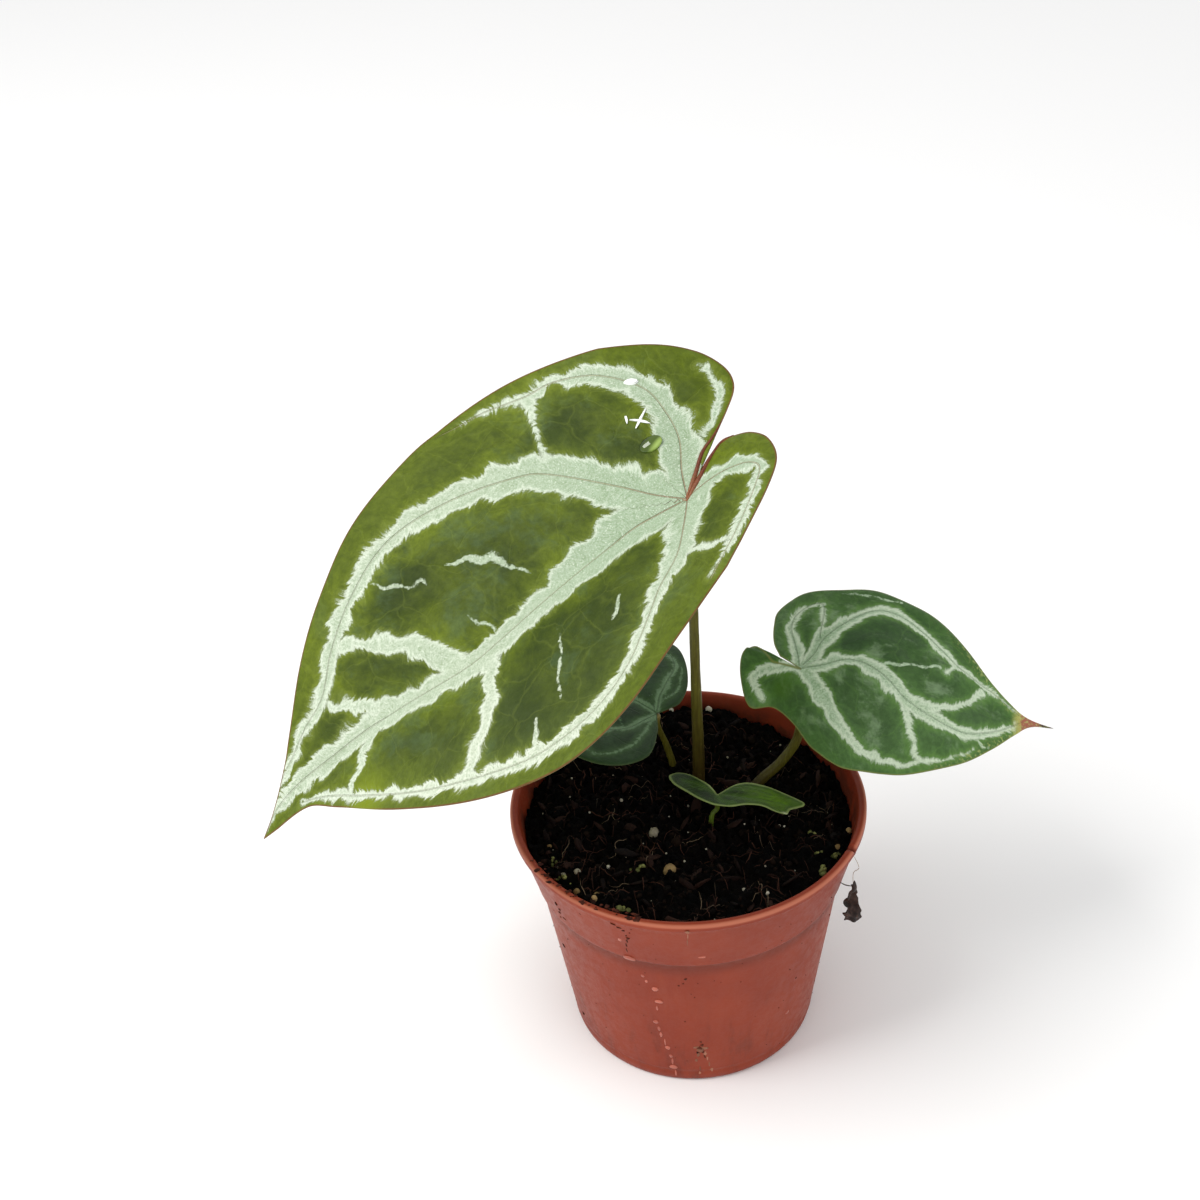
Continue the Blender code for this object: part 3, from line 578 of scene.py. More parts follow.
# %% The frost on the bands
def leaf_frost(made, look, at):
    """The colour of the bands, from mint to white with darker and lighter grains."""
    where = at["where"]
    bright = made.step(at["far"], look["white_from"], look["white_to"], 0.0, 0.5)
    bright = made.plus(bright, made.times(at["lit_half"], 0.5))
    frost = made.blend(bright, light(look["mint"]), light(look["white"]))
    grain = made.noise(where, 1.7, detail=6.0, roughness=0.85)
    frost = made.paint(frost, look["frost_shade"], made.step(grain, 0.44, 0.60, 0.0, 0.7))
    frost = made.paint(frost, look["frost_light"], made.step(at["hairs"], 0.46, 0.62, 0.0, 0.22))
    patchy = made.noise(where, 0.30, detail=4.0, roughness=0.6)
    frost = made.paint(frost, look["frost_shade"], made.step(patchy, 0.5, 0.72, 0.0, 0.35))
    glints = made.noise(where, 2.6, detail=3.0, roughness=0.7)
    frost = made.paint(frost, look["frost_light"], made.step(glints, 0.58, 0.66, 0.0, 0.8))
    brink = made.math("ABSOLUTE", made.plus(at["ragged"], 0.7))
    return made.paint(frost, look["frost_light"], made.step(brink, 0.0, 0.9, look["brink_share"], 0.0))


# %% [markdown]
# A thin line runs in the groove of each main vein, reddish at the stalk and pale further out, and the
# margin has a line of its own. One leaf has a dry tip and yellow flecks beside it, and some have one
# place where light shines through the blade.


# %% Lines, dry tip and bright place
def leaf_lines(made, look, at, colour):
    """The colour with the lines of the main veins and the margin drawn on it. Adds centre."""
    at["centre"] = made.step(at["line"], 0.04, 0.26, 1.0, 0.0)
    fade = made.step(at["far"], *look["line_fade"], look["line_share"], 0.15)
    reddish = made.step(at["far"], 2.0, look["line_fade"][0] * 2)
    reddish = made.blend(reddish, light(look["line"]), light(look["line_far"]))
    colour = made.blend(made.times(at["centre"], fade), colour, reddish)
    return made.paint(colour, look["margin"], made.step(at["edge"], 0.10, look["margin_width"], 0.85, 0.0))


def dry_tip(made, look, at, colour):
    """The tip turns yellow, brown and nearly black along the blade, with flecks before it."""
    start = look["dry_from"]
    dry = made.plus(at["along"], made.sway(at["ruffle"], 3.0))
    colour = made.paint(colour, (176, 172, 96), made.step(dry, start - 2.5, start + 0.5))
    colour = made.paint(colour, (158, 98, 78), made.step(dry, start, start + 1.2))
    colour = made.paint(colour, (70, 50, 44), made.step(dry, start + 5.0, start + 6.5))
    fleck = made.noise(at["where"], 1.1, detail=5.0, roughness=0.7)
    fleck = made.times(made.step(fleck, 0.52, 0.60), made.step(at["edge"], 0.4, 3.4, 0.8, 0.0))
    return made.paint(colour, (172, 184, 108), made.times(fleck, made.step(at["along"], 30.0, 52.0)))


def bright_place(made, look, at, colour):
    """A round place of its own colour that fades outwards and spares the bands."""
    off = made.node("VectorMath", {"operation": "DISTANCE"})
    made.set(off, 0, made.stretched(at["where"], FLAT))
    off.inputs[1].default_value = (*look["bright_patch"], 0.0)
    patch = made.step(off.outputs["Value"], 0.5, look["patch_reach"], look["patch_share"], 0.0)
    patch = made.times(patch, made.step(at["silver"], 0.0, 1.0, 1.0, 0.0))
    return made.paint(colour, look["patch_colour"], patch)


# %% [markdown]
# The underside is paler and plain, with reddish ribs. The relief sinks the lines and veinlets and
# lifts the frost a little, so that low light catches it.


# %% Blade material
def blade_finish(name, look):
    """Top and underside of a blade as one material, from the numbers that each point carries."""
    made = Finish(name, Specular_IOR_Level=look["shine"])
    at = band_fields(made, look)
    green = leaf_green(made, look, at)
    colour = made.blend(at["silver"], green, leaf_frost(made, look, at))
    colour = leaf_lines(made, look, at, colour)
    if look.get("dry_from"):
        colour = dry_tip(made, look, at, colour)
    if look.get("bright_patch"):
        colour = bright_place(made, look, at, colour)
    below = made.blend(made.step(at["cloud"], 0.3, 0.7), light(look["under"]), light(look["under_light"]))
    below = made.paint(below, look["under_rib"], made.step(at["line"], 0.3, 1.1, 0.8, 0.0))
    colour = made.blend(made.attribute("under"), colour, below)
    height = made.times(at["veinlet"], -0.25)
    height = made.plus(height, made.times(at["centre"], -1.2))
    height = made.plus(height, made.times(at["silver"], 0.22))
    height = made.plus(height, made.times(at["mottle"], 0.8))
    skin = made.bump(height, 0.22 * MM)
    skin = made.bump(made.noise(at["where"], 7.0, detail=3.0), 0.07 * MM, before=skin)
    rough = made.step(at["mottle"], 0.3, 0.7, look["gloss"], look["gloss"] + 0.12)
    print(f"{name}: {len(made.tree.nodes)} nodes")
    return made.done(Base_Color=colour, Roughness=rough, Normal=skin)


# %% [markdown]
# ## The large leaf
#
# The large blade hangs from the tall stalk towards the left, with its tip low and its lobes high. Its
# far half is deep olive, and its near half is paler with painted light. The tables hold the outline of
# each half, from the back of the lobe to the tip, and each vein as (along, across, half width of the
# band).

# %% Large leaf
LARGE_LEAF = {
    "joint": (2.1, 5.0, 155.4),
    "length": 132.0,
    "heading": 196.0,
    "dip": [25, 28, 32, 36, 40, 46],
    "roll": [-14, -14],
    "fold_left": [15, 14, 12, 8],
    "fold_right": [13, 14, 13, 8],
    "curl_left": [6, 0],
    "curl_right": [4, 0],
    "half_width": 52.0,
    "wave": 1.0,
    "waves": 3.2,
    "lobe_length": 23.0,
    "lobe_lift_left": -1.6,
    "lobe_lift_right": 0.9,
    "sinus_slope": 0.80,
    "lobe_rows": 0.24,
    "outline_left": [
        (-10.5, -8), (-13.8, -9.6), (-17.2, -8.2), (-20.6, -5), (-22.8, 1), (-21.9, 9.2), (-17, 16),
        (-8, 24.3), (2, 32.9), (16, 44), (31, 53.5), (45, 56.5), (58, 53.5), (74, 44.5), (92, 29.5),
        (108, 12.5), (117, 4), (132, 0),
    ],
    "outline_right": [
        (-8.5, -9.2), (-13, -11.6), (-18.6, -16), (-23, -21), (-23.2, -27), (-19, -34.5),
        (-10, -41.3), (7, -47.6), (24, -51.7), (41, -52), (57, -49.2), (72, -44.5), (87, -36.2),
        (100, -26.5), (112, -15), (121, -6.5), (132, 0),
    ],
    "channels": [
        [(0, 0), (45, 0), (90, 0), (126, 0)],
        [(0, 0), (9, 17), (18, 29), (34, 43), (52, 46), (74, 38), (97, 22), (112, 8)],
        [(0, 0), (9, -7), (25, -25), (44, -34), (66, -35), (84, -29), (98, -18), (113, -10)],
        [(0, 0), (-6, -13), (-6, -24), (2, -38), (19, -46), (41, -51)],
        [(0, 0), (-9, -1), (-18, 3), (-13, 12), (-3, 23)],
    ],
    "channel_width": 4.0,
    "channel_depth": 0.5,
    "bands": [
        [(0, 0, 4.2), (8, -0.6, 6.0), (15, -0.8, 6.4), (27, 0.8, 6.0), (39, 3.0, 5.2), (53, 5.4, 4.6),
         (64, 6.0, 4.8), (82, 1.4, 4.0), (93, -0.9, 3.6), (105, -2.1, 3.3), (115, -3.2, 2.5), (124, -3, 1.5),
         (131, -1, 0.8)],
        [(0, 0, 4.0), (6, -5.3, 5.2), (12, -12, 5.4), (24, -24.5, 4.9), (31, -29, 4.4), (48, -34.6, 3.7),
         (65, -36, 3.0), (80, -30.8, 2.9), (91, -23.5, 2.6), (99, -16, 2.2), (107, -13.4, 1.8),
         (117, -8.6, 1.6), (125, -5, 0.8)],
        [(0, 0, 3.6), (-2, -7, 4.6), (-5.4, -15, 4.8), (-6, -23, 4.3), (-4.5, -31, 3.7), (2.5, -39, 2.9),
         (8, -42.6, 2.0), (14, -45, 1.6), (19, -45.6, 1.7), (24, -47, 1.1), (30, -48.8, 0.6),
         (36, -49.6, 0.5), (41, -50.5, -1.5)],
        [(0, 0, 3.8), (3.4, 7.6, 4.7), (8.3, 17, 4.0), (15, 24, 2.7), (20, 31, 2.2), (29, 42, 2.5),
         (40, 47.6, 2.7), (54, 47.4, 2.8), (68, 41, 2.3), (85, 30, 1.8), (98, 18.5, 1.2), (109, 7.6, 1.5),
         (117, 1.8, 0.9)],
        [(-1, -0.5, 3.4), (-6, -0.6, 3.2), (-11, 0.4, 2.9), (-16, 3.5, 2.6), (-17.6, 8, 1.9),
         (-13.5, 14, 1.5), (-8, 20, 1.7), (-3, 24.6, 1.0), (0.5, 28, 0.7), (4.3, 32.5, 0.2)],
        [(88, -22.5, 1.6), (79, -15.6, 2.2), (72, -8.4, 2.6), (66, 2, 3.4)],
        [(98, -13, 1.6), (91.5, -6.2, 1.8), (85, -2, 2.1), (81, 1.4, 1.8)],
        [(20, -44.5, 2.0), (20.7, -39.5, 1.3), (22, -35.4, 0.8), (22.6, -31, 1.0), (22.4, -27, 1.6)],
        [(58, 8, 3.0), (59, 14, 2.5), (61, 21.5, 2.2), (65, 28.3, 2.3), (69, 32.6, 2.6), (73, 38, 2.2)],
        [(88, 0, 2.4), (94.6, 3.2, 1.9), (98.6, 8.1, 1.5), (104, 12.8, 1.3)],
        [(9, 17.5, 2.2), (4, 19.4, 1.2), (-3, 22, 1.0), (-5.4, 23.4, 1.0)],
        [(4, 10, 3.4), (0.5, 7.6, 2.6), (-2.5, 4.5, 2.4), (-5.5, 1, 2.6)],
        [(-10.3, -12.9, 0.8), (-16, -16.8, 1.3), (-19.2, -21, 1.5), (-19.6, -26.5, 0.9), (-18.8, -30, 0.4)],
    ],
    "threads": [
        [(56, -21.3, 0.2), (50.6, -17.8, 0.8), (45.3, -14.8, 0.5), (43.3, -10.2, 0.3), (40, -5.8, 0.3)],
        [(73.5, -29.5, 0.3), (67.6, -23.7, 0.3), (62, -20, 0.1)],
        [(57.5, -6.4, 0.1), (55.4, -2.1, 0.3), (53, 1, 0.3)],
        [(23, 18.5, 0.1), (25, 21, 0.5), (27.5, 24, 0.1)],
        [(39, 14, -0.1), (41, 21, 0.2), (43, 29, 0.35), (46, 36.5, 0.1)],
        [(52, 37, 0.1), (54, 41, 0.6), (55, 45, 0.4)],
    ],
    "swerve": 0.45,
    "main_veins": 5,
    "quilt": 0.35,
    "rib": 0.7,
}
LARGE_LOOK = {
    "shine": 0.15,
    "teeth": 3.6,
    "hairs": 1.8,
    "ruffle": 3.2,
    "half_width": 52.0,
    "deep": (54, 70, 4),
    "fresh": (102, 118, 14),
    "shade": (34, 48, 8),
    "middle_share": 0.45,
    "lit": (74, 88, 42),
    "light_axis": "across",
    "light_from": -2.0,
    "light_to": 34.0,
    "light_share": 0.45,
    "sheen": (78, 100, 66),
    "sheen_scale": 0.055,
    "sheen_share": 0.45,
    "halo": (118, 132, 50),
    "mint": (154, 174, 146),
    "white": (202, 210, 190),
    "frost_shade": (120, 142, 104),
    "frost_light": (226, 233, 218),
    "brink_share": 0.45,
    "white_from": 12.0,
    "white_to": 70.0,
    "line": (150, 98, 70),
    "line_far": (172, 164, 128),
    "line_fade": (12.0, 95.0),
    "line_share": 0.55,
    "margin": (112, 66, 42),
    "margin_width": 0.45,
    "under": (112, 126, 70),
    "under_light": (134, 146, 92),
    "under_rib": (150, 116, 88),
    "gloss": 0.40,
    "bright_patch": (100.0, 19.0),
    "patch_colour": (120, 136, 6),
    "patch_reach": 11.0,
    "patch_share": 0.7,
}
large_blade = blade_piece("large_blade", LARGE_LEAF, blade_finish("large_blade_skin", LARGE_LOOK), 300, 64)
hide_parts("large_leaf_blade")

# %% [markdown]
# ## The three smaller leaves
#
# The right leaf is arched over its stalk, darker and glossier, and its tip has dried. The back leaf
# is low and mostly covered. The front one is small and torn, rolled so that its pale edge shows. They
# use the same surface and the same kind of finish with their own tables.

# %% Right leaf
RIGHT_LEAF = {
    "joint": (28.9, 12.3, 100.0),
    "length": 69.5,
    "heading": -1.5,
    "dip": [-16, 4, 24, 34, 30, 14],
    "roll": [16, 18, 18],
    "fold_left": [-3, -3, 6, 10],
    "fold_right": [-12, -10, 2, 8],
    "curl_left": [-10, -12],
    "curl_right": [-16, -8],
    "half_width": 27.0,
    "wave": 0.8,
    "waves": 2.6,
    "lobe_length": 15.0,
    "lobe_lift_left": 0.0,
    "lobe_lift_right": 1.0,
    "sinus_slope": -0.80,
    "lobe_rows": 0.27,
    "outline_left": [
        (-4.6, 5.2), (-5.7, 10), (-5.2, 16), (-3.5, 21), (2.5, 25), (11, 25), (21, 25.7),
        (32, 22.6), (42, 15), (52, 7.2), (58, 3.7), (62.5, 1.9), (69.5, 0.8),
    ],
    "outline_right": [
        (-6.5, 3.8), (-9, 8.8), (-11.2, 10.2), (-14.2, 8), (-15.5, 2), (-14.6, -5.5), (-8.7, -7.7),
        (-4.5, -13), (-0.5, -21), (6, -25.4), (20, -26.7), (34, -25.4), (44, -20.5), (53, -11.6),
        (59, -4.6), (63.5, -0.2), (69.5, 0.8),
    ],
    "channels": [
        [(0, 0), (20, 0), (40, 0), (58, 0)],
        [(0, 0), (6, 13), (16, 20), (28, 19), (39, 13), (49, 6)],
        [(0, 0), (4, -9), (11, -19), (22, -23), (36, -20)],
    ],
    "channel_width": 2.2,
    "channel_depth": 0.35,
    "bands": [
        [(0, 0, 2.2), (6, -0.2, 2.1), (11, 1, 2.0), (15, 0.6, 2.1), (19, -1.4, 2.3), (23, -4, 2.6),
         (27, -6.9, 2.6), (32, -9, 2.4), (38, -10.6, 2.3), (44, -11, 2.0), (49, -8.8, 1.6), (55, -5, 1.2),
         (60, -0.6, 0.6)],
        [(1, 1, 2.1), (4, 3.4, 2.4), (6.5, 7.7, 2.4), (10, 11.3, 2.1), (14, 14.6, 1.9), (19, 17.9, 1.9),
         (23, 18.8, 1.9), (27, 17.6, 1.8), (31, 14.6, 1.7), (35.6, 10.8, 1.6), (40.4, 7.7, 1.4),
         (46, 6.4, 1.1), (51, 5.2, 0.9), (56, 3.4, 0.6), (60, 2, 0.4)],
        [(-0.2, 1, 2.0), (-0.1, 3.5, 1.9), (-0.5, 8.4, 1.6), (-0.9, 13.2, 1.4), (0.3, 17.1, 1.2),
         (3.4, 19.6, 0.9), (6.5, 20.4, 0.7), (7.3, 18.1, 0.8), (6.4, 12.5, 0.9), (5.7, 8.5, 1.6)],
        [(33, -8.6, 1.6), (37, -6.6, 1.2), (41, -4.6, 1.0), (45.8, -0.2, 1.1), (49, 3.6, 1.2)],
        [(37.5, 4.2, 0.6), (38.8, 6.0, 0.9), (40, 7.6, 1.1)],
        [(0.4, -0.6, 2.0), (1.6, -2, 2.2), (3.4, -6.5, 2.4), (6.3, -12, 2.2), (9.2, -16.5, 1.8),
         (13.3, -20.2, 1.5), (18, -22.6, 1.2), (26.5, -23.6, 1.0), (34, -22.8, 0.8), (42, -19, 0.5),
         (48, -13.5, 0.3)],
        [(-0.6, 0.4, 1.9), (-5, 1.8, 1.6), (-10, 2.5, 1.6), (-12, 1.6, 1.5), (-11.8, -1.2, 1.1),
         (-11, -4.6, 0.8)],
        [(27, -7.6, 1.7), (29.2, -12.4, 1.1), (30.7, -16.4, 0.8), (32.5, -20.2, 0.8), (35.2, -22.1, 1.0)],
    ],
    "threads": [
        [(20, -0.3, 0.35), (25.2, 1.8, 0.3), (30.6, 3.0, 0.25), (36, 4.4, 0.35)],
        [(12, 24, 0.1), (18, 23.4, 0.3), (26, 22.6, 0.15)],
        [(48, -10, 0.15), (50, -12.5, 0.3), (52, -12.4, 0.1)],
    ],
    "swerve": 0.3,
    "main_veins": 3,
    "quilt": 0.3,
    "rib": 0.45,
}
RIGHT_LOOK = dict(
    LARGE_LOOK,
    shine=0.17,
    teeth=2.2,
    hairs=1.4,
    ruffle=2.2,
    half_width=27.0,
    deep=(40, 74, 30),
    fresh=(76, 116, 50),
    shade=(16, 40, 14),
    middle_share=0.25,
    lit=(104, 138, 84),
    light_from=24.0,
    light_to=-22.0,
    light_share=0.45,
    sheen=(132, 160, 118),
    sheen_scale=0.09,
    sheen_share=0.7,
    halo=(104, 146, 66),
    mint=(154, 182, 146),
    white=(196, 216, 184),
    frost_shade=(102, 138, 92),
    frost_light=(220, 232, 208),
    brink_share=0.6,
    white_from=5.0,
    white_to=34.0,
    line=(84, 116, 72),
    line_far=(96, 128, 84),
    line_fade=(6.0, 40.0),
    line_share=0.3,
    margin=(120, 128, 66),
    under=(84, 112, 60),
    under_light=(112, 136, 82),
    under_rib=(140, 150, 104),
    gloss=0.30,
    dry_from=60.0,
    bright_patch=(-5.0, -3.4),
    patch_colour=(66, 106, 18),
    patch_reach=5.0,
    patch_share=0.65,
)
right_blade = blade_piece("right_blade", RIGHT_LEAF, blade_finish("right_blade_skin", RIGHT_LOOK), 200, 44)
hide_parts("right_leaf_blade")

# %% [markdown]
# The back leaf has a short stalk and lies low behind the large one. Its table is like the others, and
# its finish takes the right leaf's look and changes only what differs, so one set of numbers rules
# both.

# %% Back leaf
BACK_LEAF = {
    "joint": (-7.1, 17.5, 83.0),
    "length": 46.0,
    "heading": 140.0,
    "dip": [-6, 2, 10, 18],
    "roll": [-4, -4],
    "fold_left": [8, 8, 4],
    "fold_right": [8, 8, 4],
    "curl_left": [-8, -8],
    "curl_right": [-8, -8],
    "half_width": 24.0,
    "wave": 0.5,
    "waves": 2.8,
    "lobe_length": 9.0,
    "lobe_lift_left": 0.3,
    "lobe_lift_right": 0.3,
    "sinus_slope": 0.0,
    "lobe_rows": 0.22,
    "outline_left": [
        (-4.5, 5), (-8, 11), (-8.8, 15.5), (-6, 21), (0, 25.3), (8, 26.5), (18, 22.5), (28, 14.5),
        (37, 6.5), (46, 0),
    ],
    "outline_right": [
        (-1.5, -2.5), (-2.8, -6), (-0.5, -12), (5.5, -18.5), (12, -22), (20, -20.5), (29, -13.5),
        (37, -6.5), (46, 0),
    ],
    "channels": [
        [(0, 0), (15, 0), (30, 0), (42, 0)],
        [(0, 0), (3, 10), (11, 16), (22, 13), (32, 7)],
        [(0, 0), (3, -10), (11, -15), (22, -12), (32, -6)],
    ],
    "channel_width": 2.0,
    "channel_depth": 0.3,
    "bands": [
        [(0, 0, 1.5), (10, 0, 1.3), (24, 0, 1.1), (42, 0, 0.4)],
        [(0, 0.5, 1.3), (0.4, 5, 1.2), (2, 11, 1.0), (9, 17, 0.9), (20, 15, 0.8), (33, 6, 0.5)],
        [(0.4, -0.5, 1.3), (3, -5, 1.0), (4.6, -10, 0.9), (7, -16, 0.8), (14, -18, 0.7), (26, -12, 0.6),
         (36, -4, 0.3)],
        [(-0.5, 1.4, 0.7), (-2.6, 8, 0.55), (-3.4, 14, 0.5), (-1.6, 19.5, 0.5), (3, 23, 0.4), (10, 23, 0.2)],
        [(1.4, -3, 0.5), (0.6, -7.7, 0.45), (1.6, -12, 0.4), (6, -17, 0.2)],
        [(8, 1, 0.8), (10, 6, 0.6), (13, 13, 0.5)],
        [(12, -1, 0.7), (14, -8, 0.5), (16, -15, 0.4)],
    ],
    "threads": [[(2, -6, 0.1), (5, -3, 0.1)], [(1, 12, 0.1), (6, 8, 0.12)]],
    "swerve": 0.25,
    "main_veins": 3,
    "quilt": 0.25,
    "rib": 0.35,
}
BACK_LOOK = dict(
    RIGHT_LOOK,
    teeth=1.8,
    ruffle=1.6,
    half_width=24.0,
    sheen=(56, 82, 52),
    brink_share=0.3,
    deep=(24, 46, 20),
    fresh=(42, 68, 32),
    shade=(14, 34, 14),
    lit=(48, 76, 42),
    halo=(70, 100, 54),
    mint=(84, 116, 78),
    white=(112, 142, 106),
    frost_shade=(60, 92, 56),
    frost_light=(134, 160, 124),
    white_from=4.0,
    white_to=24.0,
    line=(60, 84, 52),
    line_far=(60, 84, 52),
    margin=(60, 76, 42),
    dry_from=None,
    bright_patch=None,
)
back_blade = blade_piece("back_blade", BACK_LEAF, blade_finish("back_blade_skin", BACK_LOOK), 120, 32)
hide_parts("back_leaf_blade")

# %% [markdown]
# The front leaf is the youngest and smallest. It is torn, so its outline has a notch and isn't a true
# heart. Its bands are only thin pale lines, and one corner of the margin is nearly white.

# %% Front leaf
FRONT_LEAF = {
    "joint": (7.6, -0.2, 70.4),
    "length": 20.5,
    "heading": -9.0,
    "dip": [0, 6, 10, 12],
    "roll": [-12, -12],
    "fold_left": [4, 4],
    "fold_right": [-4, -4],
    "curl_left": [14, 10],
    "curl_right": [10, 40, 42],
    "half_width": 9.5,
    "wave": 0.3,
    "waves": 2.2,
    "lobe_length": 12.0,
    "lobe_lift_left": 0.0,
    "lobe_lift_right": 0.0,
    "sinus_slope": -1.60,
    "lobe_rows": 0.30,
    "outline_left": [
        (2.6, 3.4), (5, 5.4), (8, 6.3), (12.7, 6), (17, 4.6), (21.5, 3), (22, 1.6), (20.5, 0),
    ],
    "outline_right": [
        (-2.5, 4.2), (-5, 6.6), (-8.5, 9.3), (-11.6, 9.6), (-13.3, 6.7), (-12, 3.4), (-8.5, 0),
        (-4.5, -3.9), (0, -5.6), (4.3, -5.4), (8.5, -3.4), (12.5, -3.4), (17, -8), (18.6, -2),
        (20.5, 0),
    ],
    "channels": [
        [(0, 0), (8, 0), (18, 0)],
        [(0, 0), (4, 5), (10, 5)],
        [(0, 0), (3, -5), (9, -5.5)],
    ],
    "channel_width": 1.1,
    "channel_depth": 0.2,
    "bands": [
        [(0, 0, 0.35), (6, -0.4, 0.32), (12, 0.3, 0.3), (17, 0, 0.2)],
        [(0, 0.4, 0.35), (3.4, 3.2, 0.28), (9, 3.6, 0.2), (14, 2.8, 0.1)],
        [(-0.5, 0.4, 0.3), (-5, 3.6, 0.25), (-9.5, 6, 0.12)],
        [(0.4, -0.4, 0.3), (1, -3, 0.2), (4, -4, 0.1)],
    ],
    "threads": [[(4, 0, 0.03), (6, 2.4, 0.06), (9, 3.4, 0.03)], [(-4, 1, 0.03), (-8, 3, 0.05)]],
    "swerve": 0.1,
    "main_veins": 3,
    "quilt": 0.1,
    "rib": 0.15,
}
FRONT_LOOK = dict(
    BACK_LOOK,
    shine=0.10,
    teeth=0.6,
    hairs=0.4,
    ruffle=0.4,
    half_width=9.5,
    deep=(26, 48, 6),
    fresh=(44, 76, 8),
    shade=(14, 30, 4),
    middle_share=0.3,
    lit=(112, 156, 10),
    light_axis="along",
    light_from=2.0,
    light_to=15.0,
    light_share=0.85,
    sheen=(66, 96, 40),
    sheen_share=0.3,
    halo=(72, 106, 30),
    mint=(72, 104, 36),
    white=(82, 112, 44),
    frost_shade=(54, 84, 24),
    frost_light=(104, 132, 66),
    line=(88, 116, 48),
    line_far=(88, 116, 48),
    margin=(150, 168, 100),
    margin_width=0.8,
    bright_patch=(18.0, -6.8),
    patch_colour=(214, 224, 178),
    patch_reach=2.2,
    patch_share=0.9,
    under=(112, 132, 64),
    under_light=(150, 162, 104),
    under_rib=(164, 172, 122),
    gloss=0.26,
)
front_blade = blade_piece("front_blade", FRONT_LEAF, blade_finish("front_blade_skin", FRONT_LOOK), 110, 26)
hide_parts("front_leaf_blade")

# %% [markdown]
# ## The stalks
#
# A leaf stalk is round, smooth and slightly grooved. It thickens a little at its foot and swells at
# the joint under the blade, where the leaf turns to the light. A tube carried along a smooth path is
# enough. The radius follows a few stations, and the colour changes with the share of the way up.


# %% Stalk tubes
SOIL_LEVEL = 62.6 * MM
STALK_RINGS = 120
STALK_SIDES = 28


def stalk_piece(name, leaf, foot, through, radii, finish):
    """A tube from in the mix to inside the blade's underside, with radii in mm at even stations."""
    joint, _, normal = rib_frame(leaf, np.array(0.0))
    arrival = normal + np.array([0.0, 0.0, 1.0])
    arrival /= np.linalg.norm(arrival)
    sunk = channel_depth(leaf, np.zeros(1), np.zeros(1))[0]
    head = joint - normal * (sunk + 0.2 * MM)
    foot = np.array([*foot, 0.0]) * MM
    knots = [foot + [0, 0, SOIL_LEVEL - 8 * MM], foot + [0, 0, SOIL_LEVEL - 0.6 * MM]]
    knots += [np.array(p) * MM for p in through] + [head - arrival * 3.8 * MM, head]
    path = smooth_line(knots, STALK_RINGS)
    share = np.linspace(0, 1, STALK_RINGS)
    grain = 1 + 0.02 * lumps(path / MM, 7.0, 3)
    radius = eased(share, radii) * MM * grain * np.sqrt(np.clip((1 - share) / 0.012 + 0.05, 0, 1))
    points = capped(path, radius, STALK_SIDES, groove=0.10)
    told = {"rise": np.repeat(np.concatenate([[0], share, [1]]), STALK_SIDES)}
    faces = grid_faces(STALK_RINGS + 2, STALK_SIDES, close_columns=True)
    piece = piece_from(name, points, faces, finish, told, weld=1e-7)
    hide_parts(name)
    return piece


def stalk_finish(name, foot, middle, head):
    """Olive green skin with fine lengthwise streaks, browner at the foot and at the joint."""
    made = Finish(name, Specular_IOR_Level=0.3)
    rise = made.attribute("rise")
    where = made.place()
    streaks = made.noise(made.stretched(where, (2600.0, 2600.0, 90.0)), 1.0, detail=3.0)
    spots = made.noise(where, 900.0, detail=4.0, roughness=0.7)
    colour = made.blend(made.step(rise, 0.05, 0.45), light(foot), light(middle))
    colour = made.paint(colour, head, made.step(rise, 0.90, 0.985))
    darker = made.blend(1.0, colour, light((190, 180, 150)), "MULTIPLY")
    colour = made.blend(made.step(streaks, 0.35, 0.7, 0.0, 0.8), colour, darker)
    colour = made.paint(colour, (140, 140, 70), made.step(spots, 0.60, 0.72, 0.0, 0.35))
    rough = made.step(spots, 0.3, 0.7, 0.34, 0.48)
    return made.done(Base_Color=colour, Roughness=rough, Normal=made.bump(streaks, 0.00012))


# %% [markdown]
# Each stalk starts a few millimetres deep in the mix and goes through a few places that give its bend.
# It ends inside its blade's underside, so no gap shows. The three older ones share one skin, and the
# youngest is greener.

# %% Four stalks
stalk_skin = stalk_finish("stalk_skin", (58, 44, 12), (94, 90, 28), (124, 112, 58))
young_skin = stalk_finish("young_stalk_skin", (84, 104, 30), (96, 118, 36), (112, 132, 58))
stalk_piece(
    "large_leaf_stalk", LARGE_LEAF, (3.1, 13.0),
    [(3.2, 13.2, 75.0), (3.0, 12.0, 100.0), (2.9, 10.0, 125.0)],
    [1.75, 1.6, 1.5, 1.4, 1.32, 1.25, 1.2, 1.15, 1.1, 1.12, 1.3], stalk_skin,
)
stalk_piece(
    "right_leaf_stalk", RIGHT_LEAF, (17.6, 11.2),
    [(19.8, 11.5, 65.4), (24.8, 12.0, 70.8), (28.8, 12.0, 79.5)],
    [1.6, 1.5, 1.4, 1.3, 1.2, 1.15, 1.1, 1.2, 1.3], stalk_skin,
)
stalk_piece(
    "back_leaf_stalk", BACK_LEAF, (-3.4, 20.4), [(-5.2, 20.2, 70.5)], [1.2, 1.1, 1.0, 0.9, 0.8, 0.85, 0.95],
    stalk_skin,
)
stalk_piece(
    "front_leaf_stalk", FRONT_LEAF, (5.8, -1.9), [(6.3, -1.5, 65.0)], [0.8, 0.75, 0.7, 0.65, 0.6, 0.65, 0.7],
    young_skin,
)

# %% [markdown]
# Where a stalk meets its blade, the two lobes leave a slit. Its lip is thick and reddish, as on the
# living plant. A tube that lies on the blade's own map makes it.


